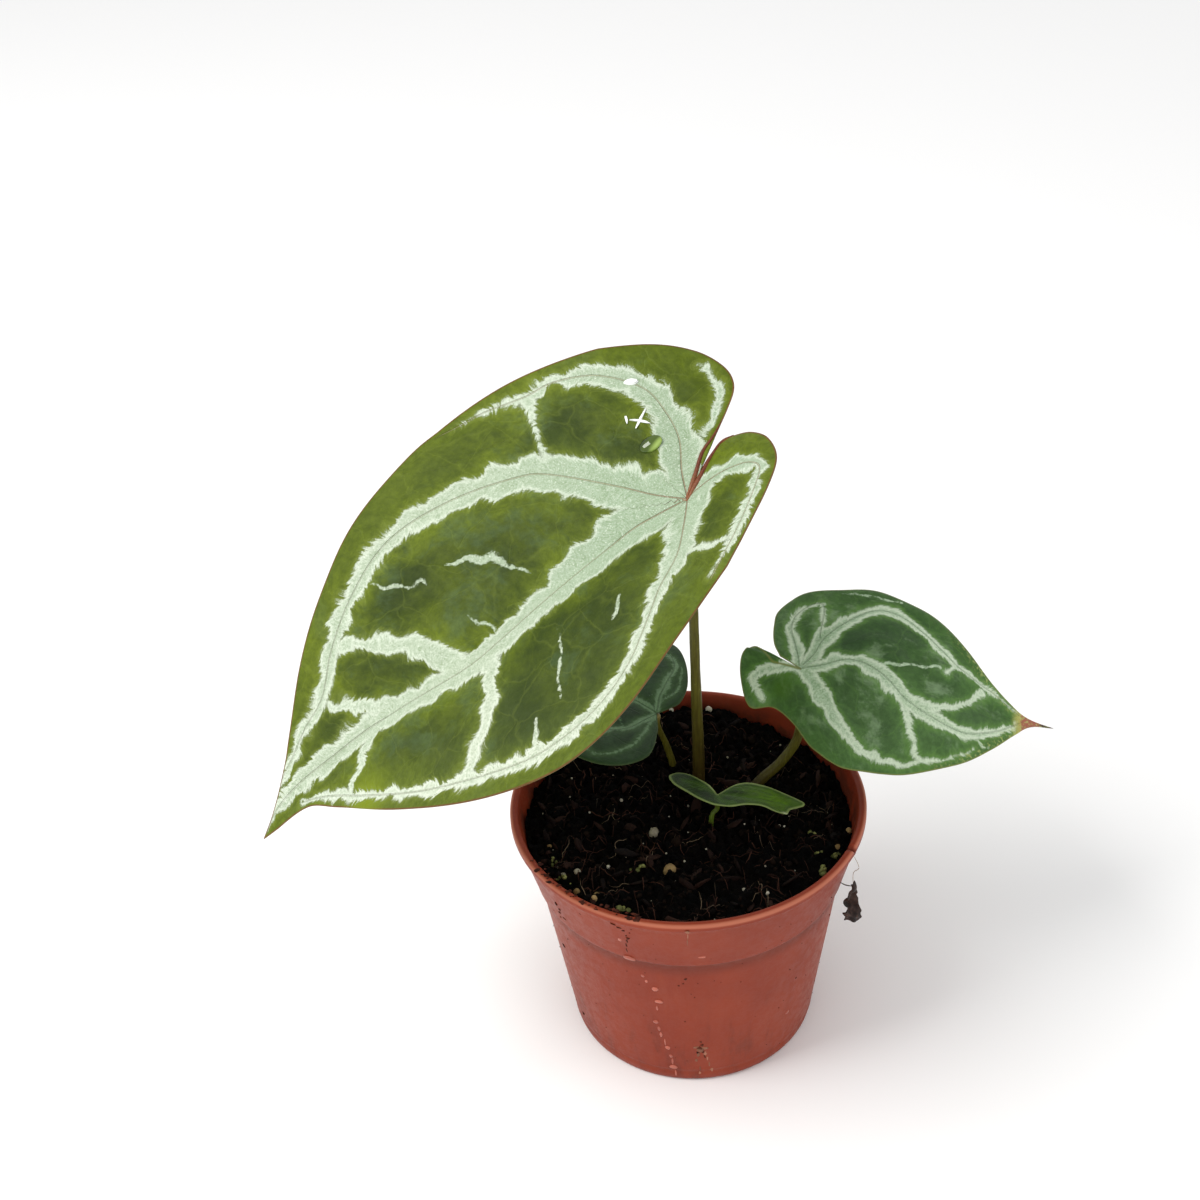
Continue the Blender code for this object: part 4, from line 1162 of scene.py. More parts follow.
# %% Lip of the slit
def slit_lip(name, leaf, route, radii, finish):
    """A tapering tube along a route of (along, across) millimetres on a blade."""
    flat = smooth_line(route, 60) * MM
    path = blade_surface(leaf, flat[:, 0], flat[:, 1])
    share = np.linspace(0, 1, 60)
    points = capped(path, eased(share, radii) * MM, 14)
    told = {"rise": np.repeat(np.concatenate([[0], share, [1]]), 14)}
    return piece_from(name, points, grid_faces(62, 14, close_columns=True), finish, told, 1e-7)


lip_skin = stalk_finish("lip_skin", (140, 88, 58), (108, 52, 30), (86, 44, 26))
slit_lip(
    "large_slit_lip", LARGE_LEAF, [(0.6, 0.4), (-4, -3), (-10.2, -7.8), (-13.8, -9.7), (-16.6, -8.8)],
    [0.3, 0.75, 0.65, 0.4, 0.15], lip_skin,
)
slit_lip(
    "large_lobe_lip", LARGE_LEAF, [(0.2, -0.4), (-4, -4.4), (-8.4, -9), (-12.6, -11.4), (-16, -14)],
    [0.3, 0.6, 0.5, 0.35, 0.12], lip_skin,
)

# %% [markdown]
# ## The pot
#
# The pot is a thin moulded cup, so one profile turned about the upright axis gives inside, lip,
# collar and base at once. A few close corners round each bend, and long runs are cut into short
# steps, so that the wall can sag a little between them. A crack splits the lip at the right, and the
# profile dips there. The drain holes are cut through the base at the CAD's own places.

# %% Pot shape
RIM_RADIUS = 45.0
POT_SIDES = 320
DRAIN_HOLES = 8
DRAIN_RADIUS = 3.2
DRAIN_CIRCLE = 22.0
CRACK_TURN = math.atan2(-19.6, 39.9)
POT_PROFILE = [
    (0.0, 2.0), (14.0, 2.0), (29.8, 2.0), (31.0, 2.5), (31.3, 3.6), (37.9, 48.9), (38.1, 50.0),
    (38.9, 51.1), (42.9, 68.0), (43.1, 68.5), (43.5, 68.8), (44.3, 68.8), (44.8, 68.6), (45.0, 68.2),
    (45.0, 67.0), (44.8, 66.7), (44.4, 66.5), (44.1, 66.2), (40.35, 51.9), (40.2, 51.1), (39.9, 50.5),
    (39.5, 50.1), (39.2, 49.7), (39.0, 49.1), (32.6, 5.2), (32.55, 4.6), (32.35, 4.3), (32.3, 2.6),
    (31.9, 0.9), (31.5, 0.3), (31.0, 0.0), (27.0, 0.0), (26.2, 0.8), (9.8, 0.8), (9.0, 0.0),
    (0.0, 0.0),
]


def fine_profile(corners, longest):
    """The profile with every straight run cut into steps no longer than the given length."""
    runs = [np.array(corners[:1], float)]
    for start, end in zip(corners[:-1], corners[1:]):
        start, end = np.array(start, float), np.array(end, float)
        steps = max(1, math.ceil(np.linalg.norm(end - start) / longest))
        share = np.arange(1, steps + 1)[:, None] / steps
        runs.append(start + (end - start) * share)
    return np.vstack(runs)


def turned(profile, sides):
    """Points (profile, sides, 3) in metres of the profile (radius, height) in mm turned about Z."""
    turn = np.linspace(0, 2 * np.pi, sides, endpoint=False)
    radius, height = profile[:, 0, None], profile[:, 1, None]
    return np.dstack([radius * np.cos(turn), radius * np.sin(turn), height + 0 * turn]) * MM


def drain_cutter(name):
    """Upright drums at the drain holes' places, as one mesh that cuts the base."""
    sides = 24
    drum = np.array([(0, -2), (DRAIN_RADIUS, -2), (DRAIN_RADIUS, 5), (0, 5)], float)
    one = turned(drum, sides).reshape(-1, 3)
    bearings = 2 * np.pi * (np.arange(DRAIN_HOLES) + 0.5) / DRAIN_HOLES
    places = np.stack([np.cos(bearings), np.sin(bearings), 0 * bearings], axis=1) * DRAIN_CIRCLE * MM
    points = one[None] + places[:, None]
    faces = repeated(grid_faces(len(drum), sides, close_columns=True), DRAIN_HOLES, len(one))
    mesh = bpy.data.meshes.new(name)
    mesh.from_pydata(points.reshape(-1, 3).tolist(), [], faces.tolist())
    welded_outward(mesh, 1e-7)
    cutter = bpy.data.objects.new(name, mesh)
    bpy.context.scene.collection.objects.link(cutter)
    return cutter


# %% [markdown]
# The profile is turned into points, and two faults are pressed into them. The lip dips in a narrow
# bell at the crack, and the upper wall sags by a tenth of a millimetre, as thin plastic does.

# %% Crack and sag
profile = fine_profile(POT_PROFILE, 1.6)
points = turned(profile, POT_SIDES)
turn = np.linspace(0, 2 * np.pi, POT_SIDES, endpoint=False)
off_crack = np.abs((turn - CRACK_TURN + np.pi) % (2 * np.pi) - np.pi) * RIM_RADIUS
notch = np.exp(-((off_crack / 0.55) ** 2))[None, :] * np.clip((profile[:, 1:] - 66.5) / 2.0, 0, 1)
points[..., 2] -= 1.5 * MM * notch * (profile[:, :1] > 38)
sag = lumps(np.stack([np.cos(turn), np.sin(turn)], axis=1) * 20, 30.0, 8)[None, :]
points[..., 2] += 0.12 * MM * sag * np.clip((profile[:, 1:] - 60) / 8, 0, 1)
print("pot profile points", len(profile))

# %% [markdown]
# The plastic is satin and dusty. Its colour is never even: a painted highlight lightens the lip's outer
# edge, a painted shadow darkens the band under the collar, it is darker and dirtier low down, and fine
# scratches and dust dull the shine in places. All of it comes from noise and height on the pot's own
# place in space, so that it stays put in every view.


# %% Pot finish
def pot_finish():
    """Satin plastic with dust, grime, soil inside, a painted collar shadow and a painted lip highlight."""
    made = Finish("terracotta_plastic", Specular_IOR_Level=0.16)
    where = made.place()
    height = made.node("SeparateXYZ", None, Vector=where).outputs[2]
    broad = made.noise(where, 26.0, detail=4.0, roughness=0.6)
    dust = made.noise(where, 420.0, detail=6.0, roughness=0.72)
    smear = made.noise(made.stretched(where, (230.0, 230.0, 36.0)), 1.0, detail=5.0, roughness=0.65)
    colour = made.blend(made.step(broad, 0.35, 0.68), light((132, 50, 29)), light((144, 58, 34)))
    colour = made.paint(colour, (156, 80, 58), made.step(smear, 0.52, 0.75, 0.0, 0.16))
    colour = made.paint(colour, (166, 96, 72), made.step(dust, 0.60, 0.74, 0.0, 0.18))
    grime = made.times(made.step(smear, 0.5, 0.3), made.step(height, 0.05, 0.0))
    colour = made.paint(colour, (96, 40, 26), made.times(grime, 0.5))
    # Painted shadow: a dark band is painted just under the collar's step, where the collar shades the wall.
    seam = made.times(made.step(height, 0.0440, 0.0492), made.step(height, 0.0506, 0.0497))
    colour = made.paint(colour, (86, 34, 22), made.times(seam, 0.5))
    # Painted highlight: a lighter ring is painted on the lip's outer top edge, where the light catches it.
    outermost = made.step(length_of(made, made.stretched(where, FLAT)), 0.0441, 0.0448)
    painted_lip_highlight = made.times(made.step(height, 0.0676, 0.0684), outermost)
    colour = made.paint(colour, (208, 130, 102), made.times(painted_lip_highlight, 0.6))
    inside = made.math("LESS_THAN", made.attribute("wall"), 0.5)
    soiled = made.noise(where, 160.0, detail=5.0)
    soiled = made.times(made.step(soiled, 0.42, 0.58), inside)
    soiled = made.times(soiled, made.step(height, 0.068, 0.064))
    colour = made.paint(colour, (70, 40, 30), made.times(soiled, 0.65))
    colour = made.paint(colour, (66, 30, 24), made.attribute("crack"))
    rough = made.step(dust, 0.35, 0.65, 0.36, 0.52)
    scratches = made.noise(made.stretched(where, (900.0, 900.0, 60.0)), 1.0, detail=3.0)
    relief = made.bump(scratches, 0.00005)
    relief = made.bump(dust, 0.00006, before=relief)
    return made.done(Base_Color=colour, Roughness=rough, Normal=relief)


# %% [markdown]
# The pot is put together here. Two numbers travel with its points: whether a point is on the outside
# wall, and how close it is to the crack. Cutting the drain holes last keeps the profile simple.

# %% The whole pot
wall = (np.arange(len(profile)) > np.argmax(profile[:, 0] > 43.8)).astype(float)
split = np.exp(-((off_crack / 0.30) ** 2))[None, :] * np.clip((profile[:, 1:] - 57) / 9, 0, 1) ** 2
told = {"wall": np.repeat(wall, POT_SIDES), "crack": split.ravel()}
faces = grid_faces(len(profile), POT_SIDES, close_columns=True)
pot = piece_from("plastic_pot", points, faces, pot_finish(), told, 1e-7)
cutter = drain_cutter("drain_cutter")
cut = pot.modifiers.new("drain_holes", "BOOLEAN")
cut.operation = "DIFFERENCE"
cut.object = cutter
graph = bpy.context.evaluated_depsgraph_get()
pierced = bpy.data.meshes.new_from_object(pot.evaluated_get(graph))
pot.modifiers.clear()
pot.data = pierced
bpy.data.objects.remove(cutter, do_unlink=True)
pot.data.set_sharp_from_angle(angle=math.radians(50))
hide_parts("pot")

# %% [markdown]
# ## Small things in great number
#
# Crumbs, grains, drops and specks are all lumpy little balls, squashed and turned. One function
# builds any number of them as a single mesh, because numpy can work on all of them at once. Hair
# roots and coir fibres are thin tubes that lie on the mix. Each gets a drawn tone between 0 and 1, so
# that no two look alike.


# %% Lumpy balls and strands
def drawn_frames(draw, count):
    """Three axes at right angles in a drawn position for each of count things, as (count, 3, 3)."""
    return np.linalg.qr(draw.normal(size=(count, 3, 3)))[0]


def pebbles(name, places, sizes, frames, finish, rough=0.16, rows=6, columns=8, seed=1):
    """Lumpy balls as one piece: place + frame @ (size * direction) * (1 + rough * noise)."""
    draw = np.random.default_rng(seed)
    places = np.asarray(places, float)
    polar = np.linspace(0, np.pi, rows)[:, None]
    turn = np.linspace(0, 2 * np.pi, columns, endpoint=False)
    ball = np.dstack([np.sin(polar) * np.cos(turn), np.sin(polar) * np.sin(turn), np.cos(polar) + 0 * turn])
    ball = ball.reshape(-1, 3)
    shift = draw.uniform(-50, 50, (len(places), 1, 3))
    bulge = 1 + rough * lumps(ball + shift, 1.7, seed)[..., None]
    local = ball * np.broadcast_to(sizes, (len(places), 3))[:, None] * bulge
    points = places[:, None] + np.einsum("nvk,njk->nvj", local, frames)
    faces = repeated(grid_faces(rows, columns, close_columns=True), len(places), len(ball))
    told = {"tone": np.repeat(draw.uniform(0, 1, len(places)), len(ball))}
    return piece_from(name, points, faces, finish, told, weld=2e-7)


def strands(name, paths, radius, finish, sides=5, seed=1):
    """Thin tubes along (count, stations, 3) paths, closed to a point at both ends, as one piece."""
    draw = np.random.default_rng(seed)
    count, stations = paths.shape[:2]
    taper = np.sqrt(np.clip(np.sin(np.linspace(0, np.pi, stations)), 0, 1))
    radius = np.broadcast_to(radius, count)[:, None] * taper
    points = tube(paths, radius, sides, across=(0.12, 0.1, 1.0))
    faces = repeated(grid_faces(stations, sides, close_columns=True), count, stations * sides)
    told = {"tone": np.repeat(draw.uniform(0, 1, count), stations * sides)}
    return piece_from(name, points, faces, finish, told, weld=2e-7)


def speckled(name, dark, bright, rough=0.8, grain=900.0, bump=0.0001, shine=0.3):
    """A plain finish between two colours, by each thing's tone and by fine noise on its own place."""
    made = Finish(name, Specular_IOR_Level=shine)
    fine = made.noise(made.place(), grain, detail=4.0, roughness=0.7)
    share = made.plus(made.attribute("tone"), made.math("SUBTRACT", fine, 0.5), clamp=True)
    colour = made.blend(share, light(dark), light(bright))
    return made.done(Base_Color=colour, Roughness=rough, Normal=made.bump(fine, bump))


# %% [markdown]
# ## The potting mix
#
# The mix is nearly black, damp and full of crumbs. Its surface repeats the CAD's mounds and dips and
# adds smaller lumps. On top lie crumbs, bark chips, coir fibres, hair roots, a few pale grains of
# perlite and seed, and tiny green moss near the wall.

# %% Surface of the mix
SOIL_EDGE = 41.35 * MM
SOIL_RINGS = 111
SOIL_SIDES = 400
SOIL_WALL = [(38.6, 51.6), (37.5, 48.2), (31.1, 4.6), (29.6, 2.4), (0.0, 2.4)]


def mix_height(x, y):
    """Height of the mix in metres: the CAD's mounds, dip and crumbs, and finer lumps over them."""
    level = SOIL_LEVEL + 3.2 * MM * np.exp(-((x - 4 * MM) ** 2 + (y - 36 * MM) ** 2) / (13 * MM) ** 2)
    level = level + 1.4 * MM * np.exp(-((x + 22 * MM) ** 2 + (y + 8 * MM) ** 2) / (14 * MM) ** 2)
    level = level - 1.8 * MM * np.exp(-((x - 38 * MM) ** 2 + (y - 2 * MM) ** 2) / (10 * MM) ** 2)
    u, v = x / MM, y / MM
    crumbs = np.sin(0.93 * u + 1.7 * np.sin(0.41 * v)) * np.sin(0.88 * v + 1.3 * np.sin(0.52 * u + 1.0))
    swell = np.sin(0.37 * u - 0.22 * v + 0.8) * np.sin(0.31 * v + 0.17 * u)
    flat = np.stack([u, v], axis=-1)
    clods = 0.7 - np.abs(lumps(flat, 6.0, 21)) + 0.45 * lumps(flat, 2.6, 22) + 0.22 * lumps(flat, 1.2, 23)
    return level + (0.55 * crumbs + 0.7 * swell + 0.8 * clods) * MM


reach = np.linspace(0, SOIL_EDGE, SOIL_RINGS)[:, None]
turn = np.linspace(0, 2 * np.pi, SOIL_SIDES, endpoint=False)
x, y = reach * np.cos(turn), reach * np.sin(turn)
top = np.dstack([x, y, mix_height(x, y)])
points = np.concatenate([top, turned(np.array(SOIL_WALL), SOIL_SIDES)])
print("soil points", points.shape)

# %% [markdown]
# Damp peat is nearly black with brown fibres in it, and it is shinier where it is wetter. Two noises
# of different size give both, and the same two make its relief.

# %% Finish of the mix
soil_finish = Finish("potting_mix", Specular_IOR_Level=0.06)
where = soil_finish.place()
broad = soil_finish.noise(where, 150.0, detail=6.0, roughness=0.7)
fine = soil_finish.noise(where, 900.0, detail=6.0, roughness=0.75)
dark = soil_finish.blend(soil_finish.step(broad, 0.38, 0.68), light((1, 1, 1)), light((10, 6, 4)))
dark = soil_finish.paint(dark, (40, 28, 21), soil_finish.step(fine, 0.60, 0.76, 0.0, 0.5))
relief = soil_finish.bump(fine, 0.0006)
relief = soil_finish.bump(broad, 0.0010, before=relief)
damp = soil_finish.step(broad, 0.3, 0.7, 0.55, 0.9)
potting_mix = soil_finish.done(Base_Color=dark, Roughness=damp, Normal=relief)
told = {"tone": np.zeros(points.shape[0] * SOIL_SIDES)}
faces = grid_faces(len(points), SOIL_SIDES, close_columns=True)
soil = piece_from("potting_mix", points, faces, potting_mix, told, 1e-7)
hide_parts("soil")


# %% [markdown]
# The loose bits are drawn at random over the mix, with a fixed start so that they fall the same way
# each time. The crumbs are clods of peat of about a millimetre, and the chips are flat bits of bark
# twice as long as they are wide.

# %% Crumbs and chips
def scattered(draw, count, furthest, sunk=0.0):
    """Drawn places on the mix, within a distance of the pot's axis, as far above it as sunk says."""
    out = furthest * MM * np.sqrt(draw.uniform(0, 1, count))
    turn = draw.uniform(0, 2 * np.pi, count)
    x, y = out * np.cos(turn), out * np.sin(turn)
    return np.stack([x, y, mix_height(x, y) + sunk * MM], axis=1)


CRUMBS = 950
CHIPS = 110
PALE_SPECKS = 60
draw = np.random.default_rng(41)
crumb = speckled("crumbs", (1, 1, 1), (28, 18, 12), rough=0.85, bump=0.0003, shine=0.07)
sizes = draw.lognormal(-0.55, 0.38, (CRUMBS, 1)) * draw.uniform(0.6, 1.1, (CRUMBS, 3)) * MM
places = scattered(draw, CRUMBS, 40.2, 0.1)
pebbles("soil_crumbs", places, sizes, drawn_frames(draw, CRUMBS), crumb, 0.3, 5, 7)

chip = speckled("bark", (8, 4, 3), (48, 29, 22), rough=0.75, bump=0.0003, shine=0.12)
sizes = draw.uniform(0.7, 1.3, (CHIPS, 1)) * np.array([[2.2, 1.0, 0.38]]) * MM
frames = drawn_frames(draw, CHIPS)
pebbles("bark_chips", scattered(draw, CHIPS, 39.0, 0.5), sizes, frames, chip, 0.25, 6, 8, seed=2)

# %% [markdown]
# The pale grains are perlite, a white foamed mineral that keeps the mix airy. The tan ones are husks of
# seed. The large ones have their places in a table, and small pale specks are drawn between them.

# %% Pale and tan grains
pale = speckled("perlite", (128, 120, 100), (204, 198, 180), rough=0.8, bump=0.0002)
PALE_GRAINS = [
    (-8.7, -6.2, 1.4), (6.6, 39.3, 1.0), (-3.6, 40.3, 0.7), (-20.2, -17.8, 0.6), (-27.6, -20.8, 0.9),
    (-31.2, -20.4, 0.8), (18.6, -29.0, 0.5), (13.0, -27.0, 0.45), (23.0, -4.0, 0.4), (-17.0, 6.0, 0.45),
]
spot = np.array(PALE_GRAINS)[:, :2] * MM
extra = scattered(draw, PALE_SPECKS, 39.0)
x, y = np.concatenate([spot, extra[:, :2]]).T
sizes = np.concatenate([np.array(PALE_GRAINS)[:, 2], draw.uniform(0.14, 0.34, PALE_SPECKS)])[:, None]
sizes = sizes * draw.uniform(0.8, 1.15, (len(x), 3)) * MM
places = np.stack([x, y, mix_height(x, y) + sizes[:, 0] * 0.5], axis=1)
pebbles("pale_grains", places, sizes, drawn_frames(draw, len(x)), pale, 0.05, 9, 12, seed=3)

tan = speckled("seed_husks", (96, 72, 38), (172, 144, 96), rough=0.7, bump=0.0003)
TAN_GRAINS = [
    (-4.8, -19.1, 1.9), (23.6, 37.0, 0.8), (-22.8, -26.4, 0.8), (-23.2, -30.2, 0.9), (-27.6, -26.4, 0.9),
    (-35.0, -10.0, 0.7), (37.0, -12.0, 0.8), (40.2, -7.5, 0.8),
]
x, y = np.array(TAN_GRAINS)[:, :2].T * MM
sizes = np.array(TAN_GRAINS)[:, 2:] * draw.uniform(0.75, 1.1, (len(x), 3)) * MM
places = np.stack([x, y, mix_height(x, y) + sizes[:, 0] * 0.4], axis=1)
pebbles("tan_grains", places, sizes, drawn_frames(draw, len(x)), tan, 0.06, 10, 14, seed=4)

# %% [markdown]
# The moss and seedlings are little groups of rounded leaves. Each group is a few flattened balls
# drawn round its middle.

# %% Moss
green = speckled("moss", (66, 72, 26), (148, 150, 86), rough=0.55, bump=0.0002)
MOSS = [
    (-31.6, -21.2, 1.5), (-12.7, -19.2, 1.4), (-16.4, -32.4, 1.6), (32.0, -14.2, 1.0), (36.0, -15.4, 1.3),
    (31.0, -7.6, 1.2), (32.4, -22.0, 1.7), (-29.4, -23.2, 1.0), (36.6, -18.4, 1.2), (-34.0, -16.0, 0.9),
]
groups = np.repeat(np.array(MOSS), 6, axis=0)
spread = draw.normal(size=(len(groups), 2)) * groups[:, 2:] * 0.42
x, y = (groups[:, :2] + spread).T * MM
sizes = groups[:, 2:] * draw.uniform(0.35, 0.65, (len(groups), 1)) * np.array([[1.0, 0.85, 0.6]]) * MM
places = np.stack([x, y, mix_height(x, y) + draw.uniform(0.1, 0.7, len(groups)) * MM], axis=1)
pebbles("moss", places, sizes, drawn_frames(draw, len(groups)), green, 0.15, 6, 8, seed=5)


# %% [markdown]
# Coir fibres and hair roots lie on the mix like dropped threads. Each path follows the mix below it,
# bends to one side and rises a little in its middle.


# %% Fibres and roots
def lying_paths(draw, count, furthest, shortest, longest, lift, stations=9):
    """Curved paths over the mix. They bend sideways, and their middles rise a little."""
    share = np.linspace(-0.5, 0.5, stations)
    centre = scattered(draw, count, furthest)
    heading = draw.uniform(0, 2 * np.pi, count)
    length = draw.uniform(shortest, longest, count)[:, None] * MM
    bend = draw.normal(size=(count, 1)) * 0.18 * length
    wiggle = draw.normal(size=(count, 1)) * 0.04 * length * np.sin(9 * share + draw.uniform(0, 6, (count, 1)))
    sideways = bend * (4 * share**2 - 0.5) * 0.5 + wiggle
    x = centre[:, :1] + share * length * np.cos(heading)[:, None] - sideways * np.sin(heading)[:, None]
    y = centre[:, 1:2] + share * length * np.sin(heading)[:, None] + sideways * np.cos(heading)[:, None]
    inside = np.minimum(1, 40.6 * MM / np.maximum(np.hypot(x, y), 1e-9))
    x, y = x * inside, y * inside
    rise = draw.uniform(0.0, lift, (count, 1)) * MM * np.cos(np.pi * share) ** 2
    return np.dstack([x, y, mix_height(x, y) + rise + 0.12 * MM])


FIBRES = 230
HAIRS = 42
coir = speckled("coir", (16, 8, 5), (76, 47, 36), rough=0.7, shine=0.15)
paths = lying_paths(draw, FIBRES, 38, 3, 9, 0.9)
strands("coir_fibres", paths, draw.uniform(0.07, 0.17, FIBRES) * MM, coir)
root = speckled("hair_roots", (46, 34, 25), (132, 112, 88), rough=0.6)
paths = lying_paths(draw, HAIRS, 38, 4, 11, 1.2, 13)
strands("hair_roots", paths, draw.uniform(0.05, 0.10, HAIRS) * MM, root, seed=2)

# %% [markdown]
# ## Marks on the pot
#
# Small things tell that this pot has been used. A trail of dried drops runs down the front left, soil
# has stuck below the lip, a pale scuff marks the foot, and a mould mark sits on the front of the lip.
# Each is a thin pebble half sunk in the wall, placed by its bearing round the pot and its height.


# %% Marks on the wall
def on_wall(bearings, heights):
    """Points on the pot's outside and frames (sideways, up the wall, outward), from degrees and mm."""
    outer = profile[np.argmax(profile[:, 0]):]
    outer = outer[np.argsort(outer[:, 1], kind="stable")]
    radius = np.interp(heights, outer[:, 1], outer[:, 0]) * MM
    nearby = np.array([-1.0, 0.0, 1.0])[:, None] + heights
    slope = np.gradient(np.interp(nearby, outer[:, 1], outer[:, 0]), axis=0)[1]
    turn = np.radians(bearings)
    radial = np.stack([np.cos(turn), np.sin(turn), 0 * turn], axis=1)
    sideways = np.stack([-np.sin(turn), np.cos(turn), 0 * turn], axis=1)
    upward = radial * slope[:, None] + np.array([0.0, 0.0, 1.0])
    upward /= np.linalg.norm(upward, axis=1, keepdims=True)
    outward = np.cross(sideways, upward)
    points = radial * radius[:, None] + np.array([0, 0, MM]) * np.asarray(heights, float)[:, None]
    return points, np.stack([sideways, upward, outward], axis=2)


def wall_marks(name, marks, finish, rough=0.2, seed=1, rows=7, columns=10):
    """Marks as (bearing, height, half width, half length up the wall, thickness) in degrees and mm."""
    marks = np.array(marks, float)
    points, frames = on_wall(marks[:, 0], marks[:, 1])
    return pebbles(name, points, marks[:, 2:] * MM, frames, finish, rough, rows, columns, seed)


# %% [markdown]
# The drops were muddy water. They have dried to a thin glossy skin that is paler than the plastic,
# and short runs join some of them. Each is placed where it can be seen in the photo.

# %% Dried drops
DROPS = [
    (-112.2, 50.8, 1.35, 0.85, 0.45), (-108.8, 43.6, 0.35, 0.45, 0.1), (-107.6, 41.6, 0.3, 0.5, 0.1),
    (-104.5, 38.9, 0.7, 0.7, 0.3), (-103.5, 34.0, 0.85, 0.55, 0.3), (-104.6, 31.0, 0.2, 0.8, 0.08),
    (-105.7, 25.0, 0.6, 0.6, 0.25), (-104.8, 22.2, 0.3, 0.8, 0.12), (-104.2, 19.6, 0.3, 0.9, 0.12),
    (-102.8, 16.6, 0.15, 1.2, 0.06), (-101.8, 14.2, 0.55, 0.6, 0.25), (-100.8, 10.6, 0.4, 0.6, 0.15),
    (-100.3, 8.2, 0.2, 1.2, 0.08), (-100.0, 5.7, 0.8, 0.7, 0.25), (-99.2, 3.0, 0.2, 1.0, 0.08),
    (-86.7, 54.5, 0.8, 0.35, 0.12), (-45.8, 17.0, 0.55, 0.5, 0.2), (-114.2, 58.4, 0.4, 0.7, 0.1),
]
dried = speckled("dried_drops", (158, 76, 56), (184, 98, 76), rough=0.3, bump=0.00005, shine=0.5)
dried_marks = np.array(DROPS) * [1, 1, 1.25, 1.2, 1.1]
wall_marks("dried_drops", dried_marks, dried, 0.1)

# %% [markdown]
# The dirt is dry soil in small heaps, thickest under the lip at the front left and at the foot. Fine
# specks are drawn at random over the whole wall, because they lie on every side.

# %% Dirt
DUST_SPECKS = 160
DIRT = [
    (-116.5, 66.0, 0.9, 0.5, 0.3), (-115.0, 65.0, 1.0, 0.4, 0.25), (-113.4, 64.0, 0.9, 0.4, 0.25),
    (-112.0, 63.2, 0.6, 0.35, 0.2), (-111.4, 61.2, 0.35, 0.5, 0.2), (-111.0, 60.0, 0.6, 0.5, 0.25),
    (-111.6, 58.6, 0.3, 0.7, 0.15), (-112.2, 56.6, 0.2, 0.9, 0.12), (-112.6, 54.4, 0.14, 1.2, 0.1),
    (-110.0, 62.8, 0.3, 0.3, 0.15), (-109.2, 64.6, 0.3, 0.3, 0.15), (-141.0, 59.4, 0.6, 0.8, 0.25),
    (-140.2, 57.4, 0.5, 0.6, 0.25), (-141.4, 55.6, 0.7, 0.5, 0.25), (-139.6, 54.0, 0.8, 0.5, 0.25),
    (-142.4, 53.2, 0.4, 0.5, 0.2), (-152.5, 35.4, 0.8, 0.7, 0.25), (-152.0, 8.4, 0.8, 0.6, 0.25),
    (-92.7, 44.3, 0.5, 0.45, 0.2), (-93.6, 42.4, 0.25, 0.3, 0.15), (-95.5, 41.5, 0.4, 0.25, 0.15),
    (-44.0, 30.1, 0.4, 0.35, 0.2), (-128.0, 63.0, 0.4, 0.3, 0.15), (-147.0, 66.0, 0.7, 0.4, 0.2),
    (-88.4, 14.8, 0.7, 0.8, 0.35), (-87.0, 15.8, 0.6, 0.7, 0.3), (-86.7, 13.0, 0.5, 0.7, 0.25),
    (-88.9, 12.6, 0.5, 0.8, 0.25), (-87.6, 17.4, 0.4, 0.5, 0.2), (-86.0, 11.0, 0.25, 0.8, 0.15),
]
dirt = speckled("dirt", (40, 18, 12), (92, 46, 32), rough=0.85, shine=0.15)
dirt_marks = np.array(DIRT) * [1, 1, 0.75, 0.75, 0.6]
wall_marks("dirt_marks", dirt_marks, dirt, 0.35, seed=2)
draw = np.random.default_rng(7)
fine_dust = np.stack([draw.uniform(-180, 180, DUST_SPECKS), draw.uniform(3, 65, DUST_SPECKS)], axis=1)
fine_dust = np.hstack([fine_dust, draw.uniform(0.06, 0.2, (DUST_SPECKS, 3))])
wall_marks("fine_dirt", fine_dust, dirt, 0.3, seed=3, rows=5, columns=6)

# %% [markdown]
# The scuff at the foot is a knot of brown and pale scratches from a rough shelf. It is thin, so it
# keeps the wall's outline.

# %% Scuffs
SCUFFS = [
    (-87.9, 13.8, 0.9, 1.0, 0.2), (-86.4, 14.6, 1.0, 0.5, 0.15), (-89.4, 15.0, 0.8, 0.4, 0.12),
    (-88.8, 11.6, 0.4, 0.9, 0.15), (-89.8, 9.2, 0.25, 0.6, 0.1), (-85.6, 12.0, 0.4, 0.9, 0.12),
    (-84.8, 9.8, 0.22, 0.9, 0.1), (-83.8, 7.4, 0.22, 0.9, 0.1), (-82.6, 4.6, 0.3, 0.8, 0.1),
    (-88.0, 5.6, 0.16, 0.9, 0.08), (-88.2, 3.4, 0.25, 0.5, 0.1), (-91.3, 66.9, 0.5, 0.7, 0.25),
    (-91.2, 64.2, 0.12, 1.1, 0.06), (-91.4, 61.8, 0.1, 1.2, 0.06),
]
scuff = speckled("scuffs", (110, 66, 42), (176, 116, 90), rough=0.6, grain=1600.0)
wall_marks("pale_scuffs", SCUFFS, scuff, 0.3, seed=4)

# %% [markdown]
# Some of the mix was spilled on the lip at the front left when the pot was filled. It is a row of
# small flat crumbs that lie on the lip's top.

# %% Soil stuck on the lip
LIP_CRUMBS = 60
LIP_TOP = 68.7 * MM
draw = np.random.default_rng(12)
turn = np.radians(draw.uniform(-152, -104, LIP_CRUMBS))
out = draw.uniform(42.4, 44.6, LIP_CRUMBS) * MM
places = np.stack([out * np.cos(turn), out * np.sin(turn), np.full(LIP_CRUMBS, LIP_TOP)], axis=1)
sizes = draw.uniform(0.15, 0.6, (LIP_CRUMBS, 1)) * np.array([[1.3, 0.9, 0.5]]) * MM
frames = np.tile(np.eye(3), (LIP_CRUMBS, 1, 1))
pebbles("lip_crumbs", places, sizes, frames, dirt, 0.3, 5, 7, seed=6)

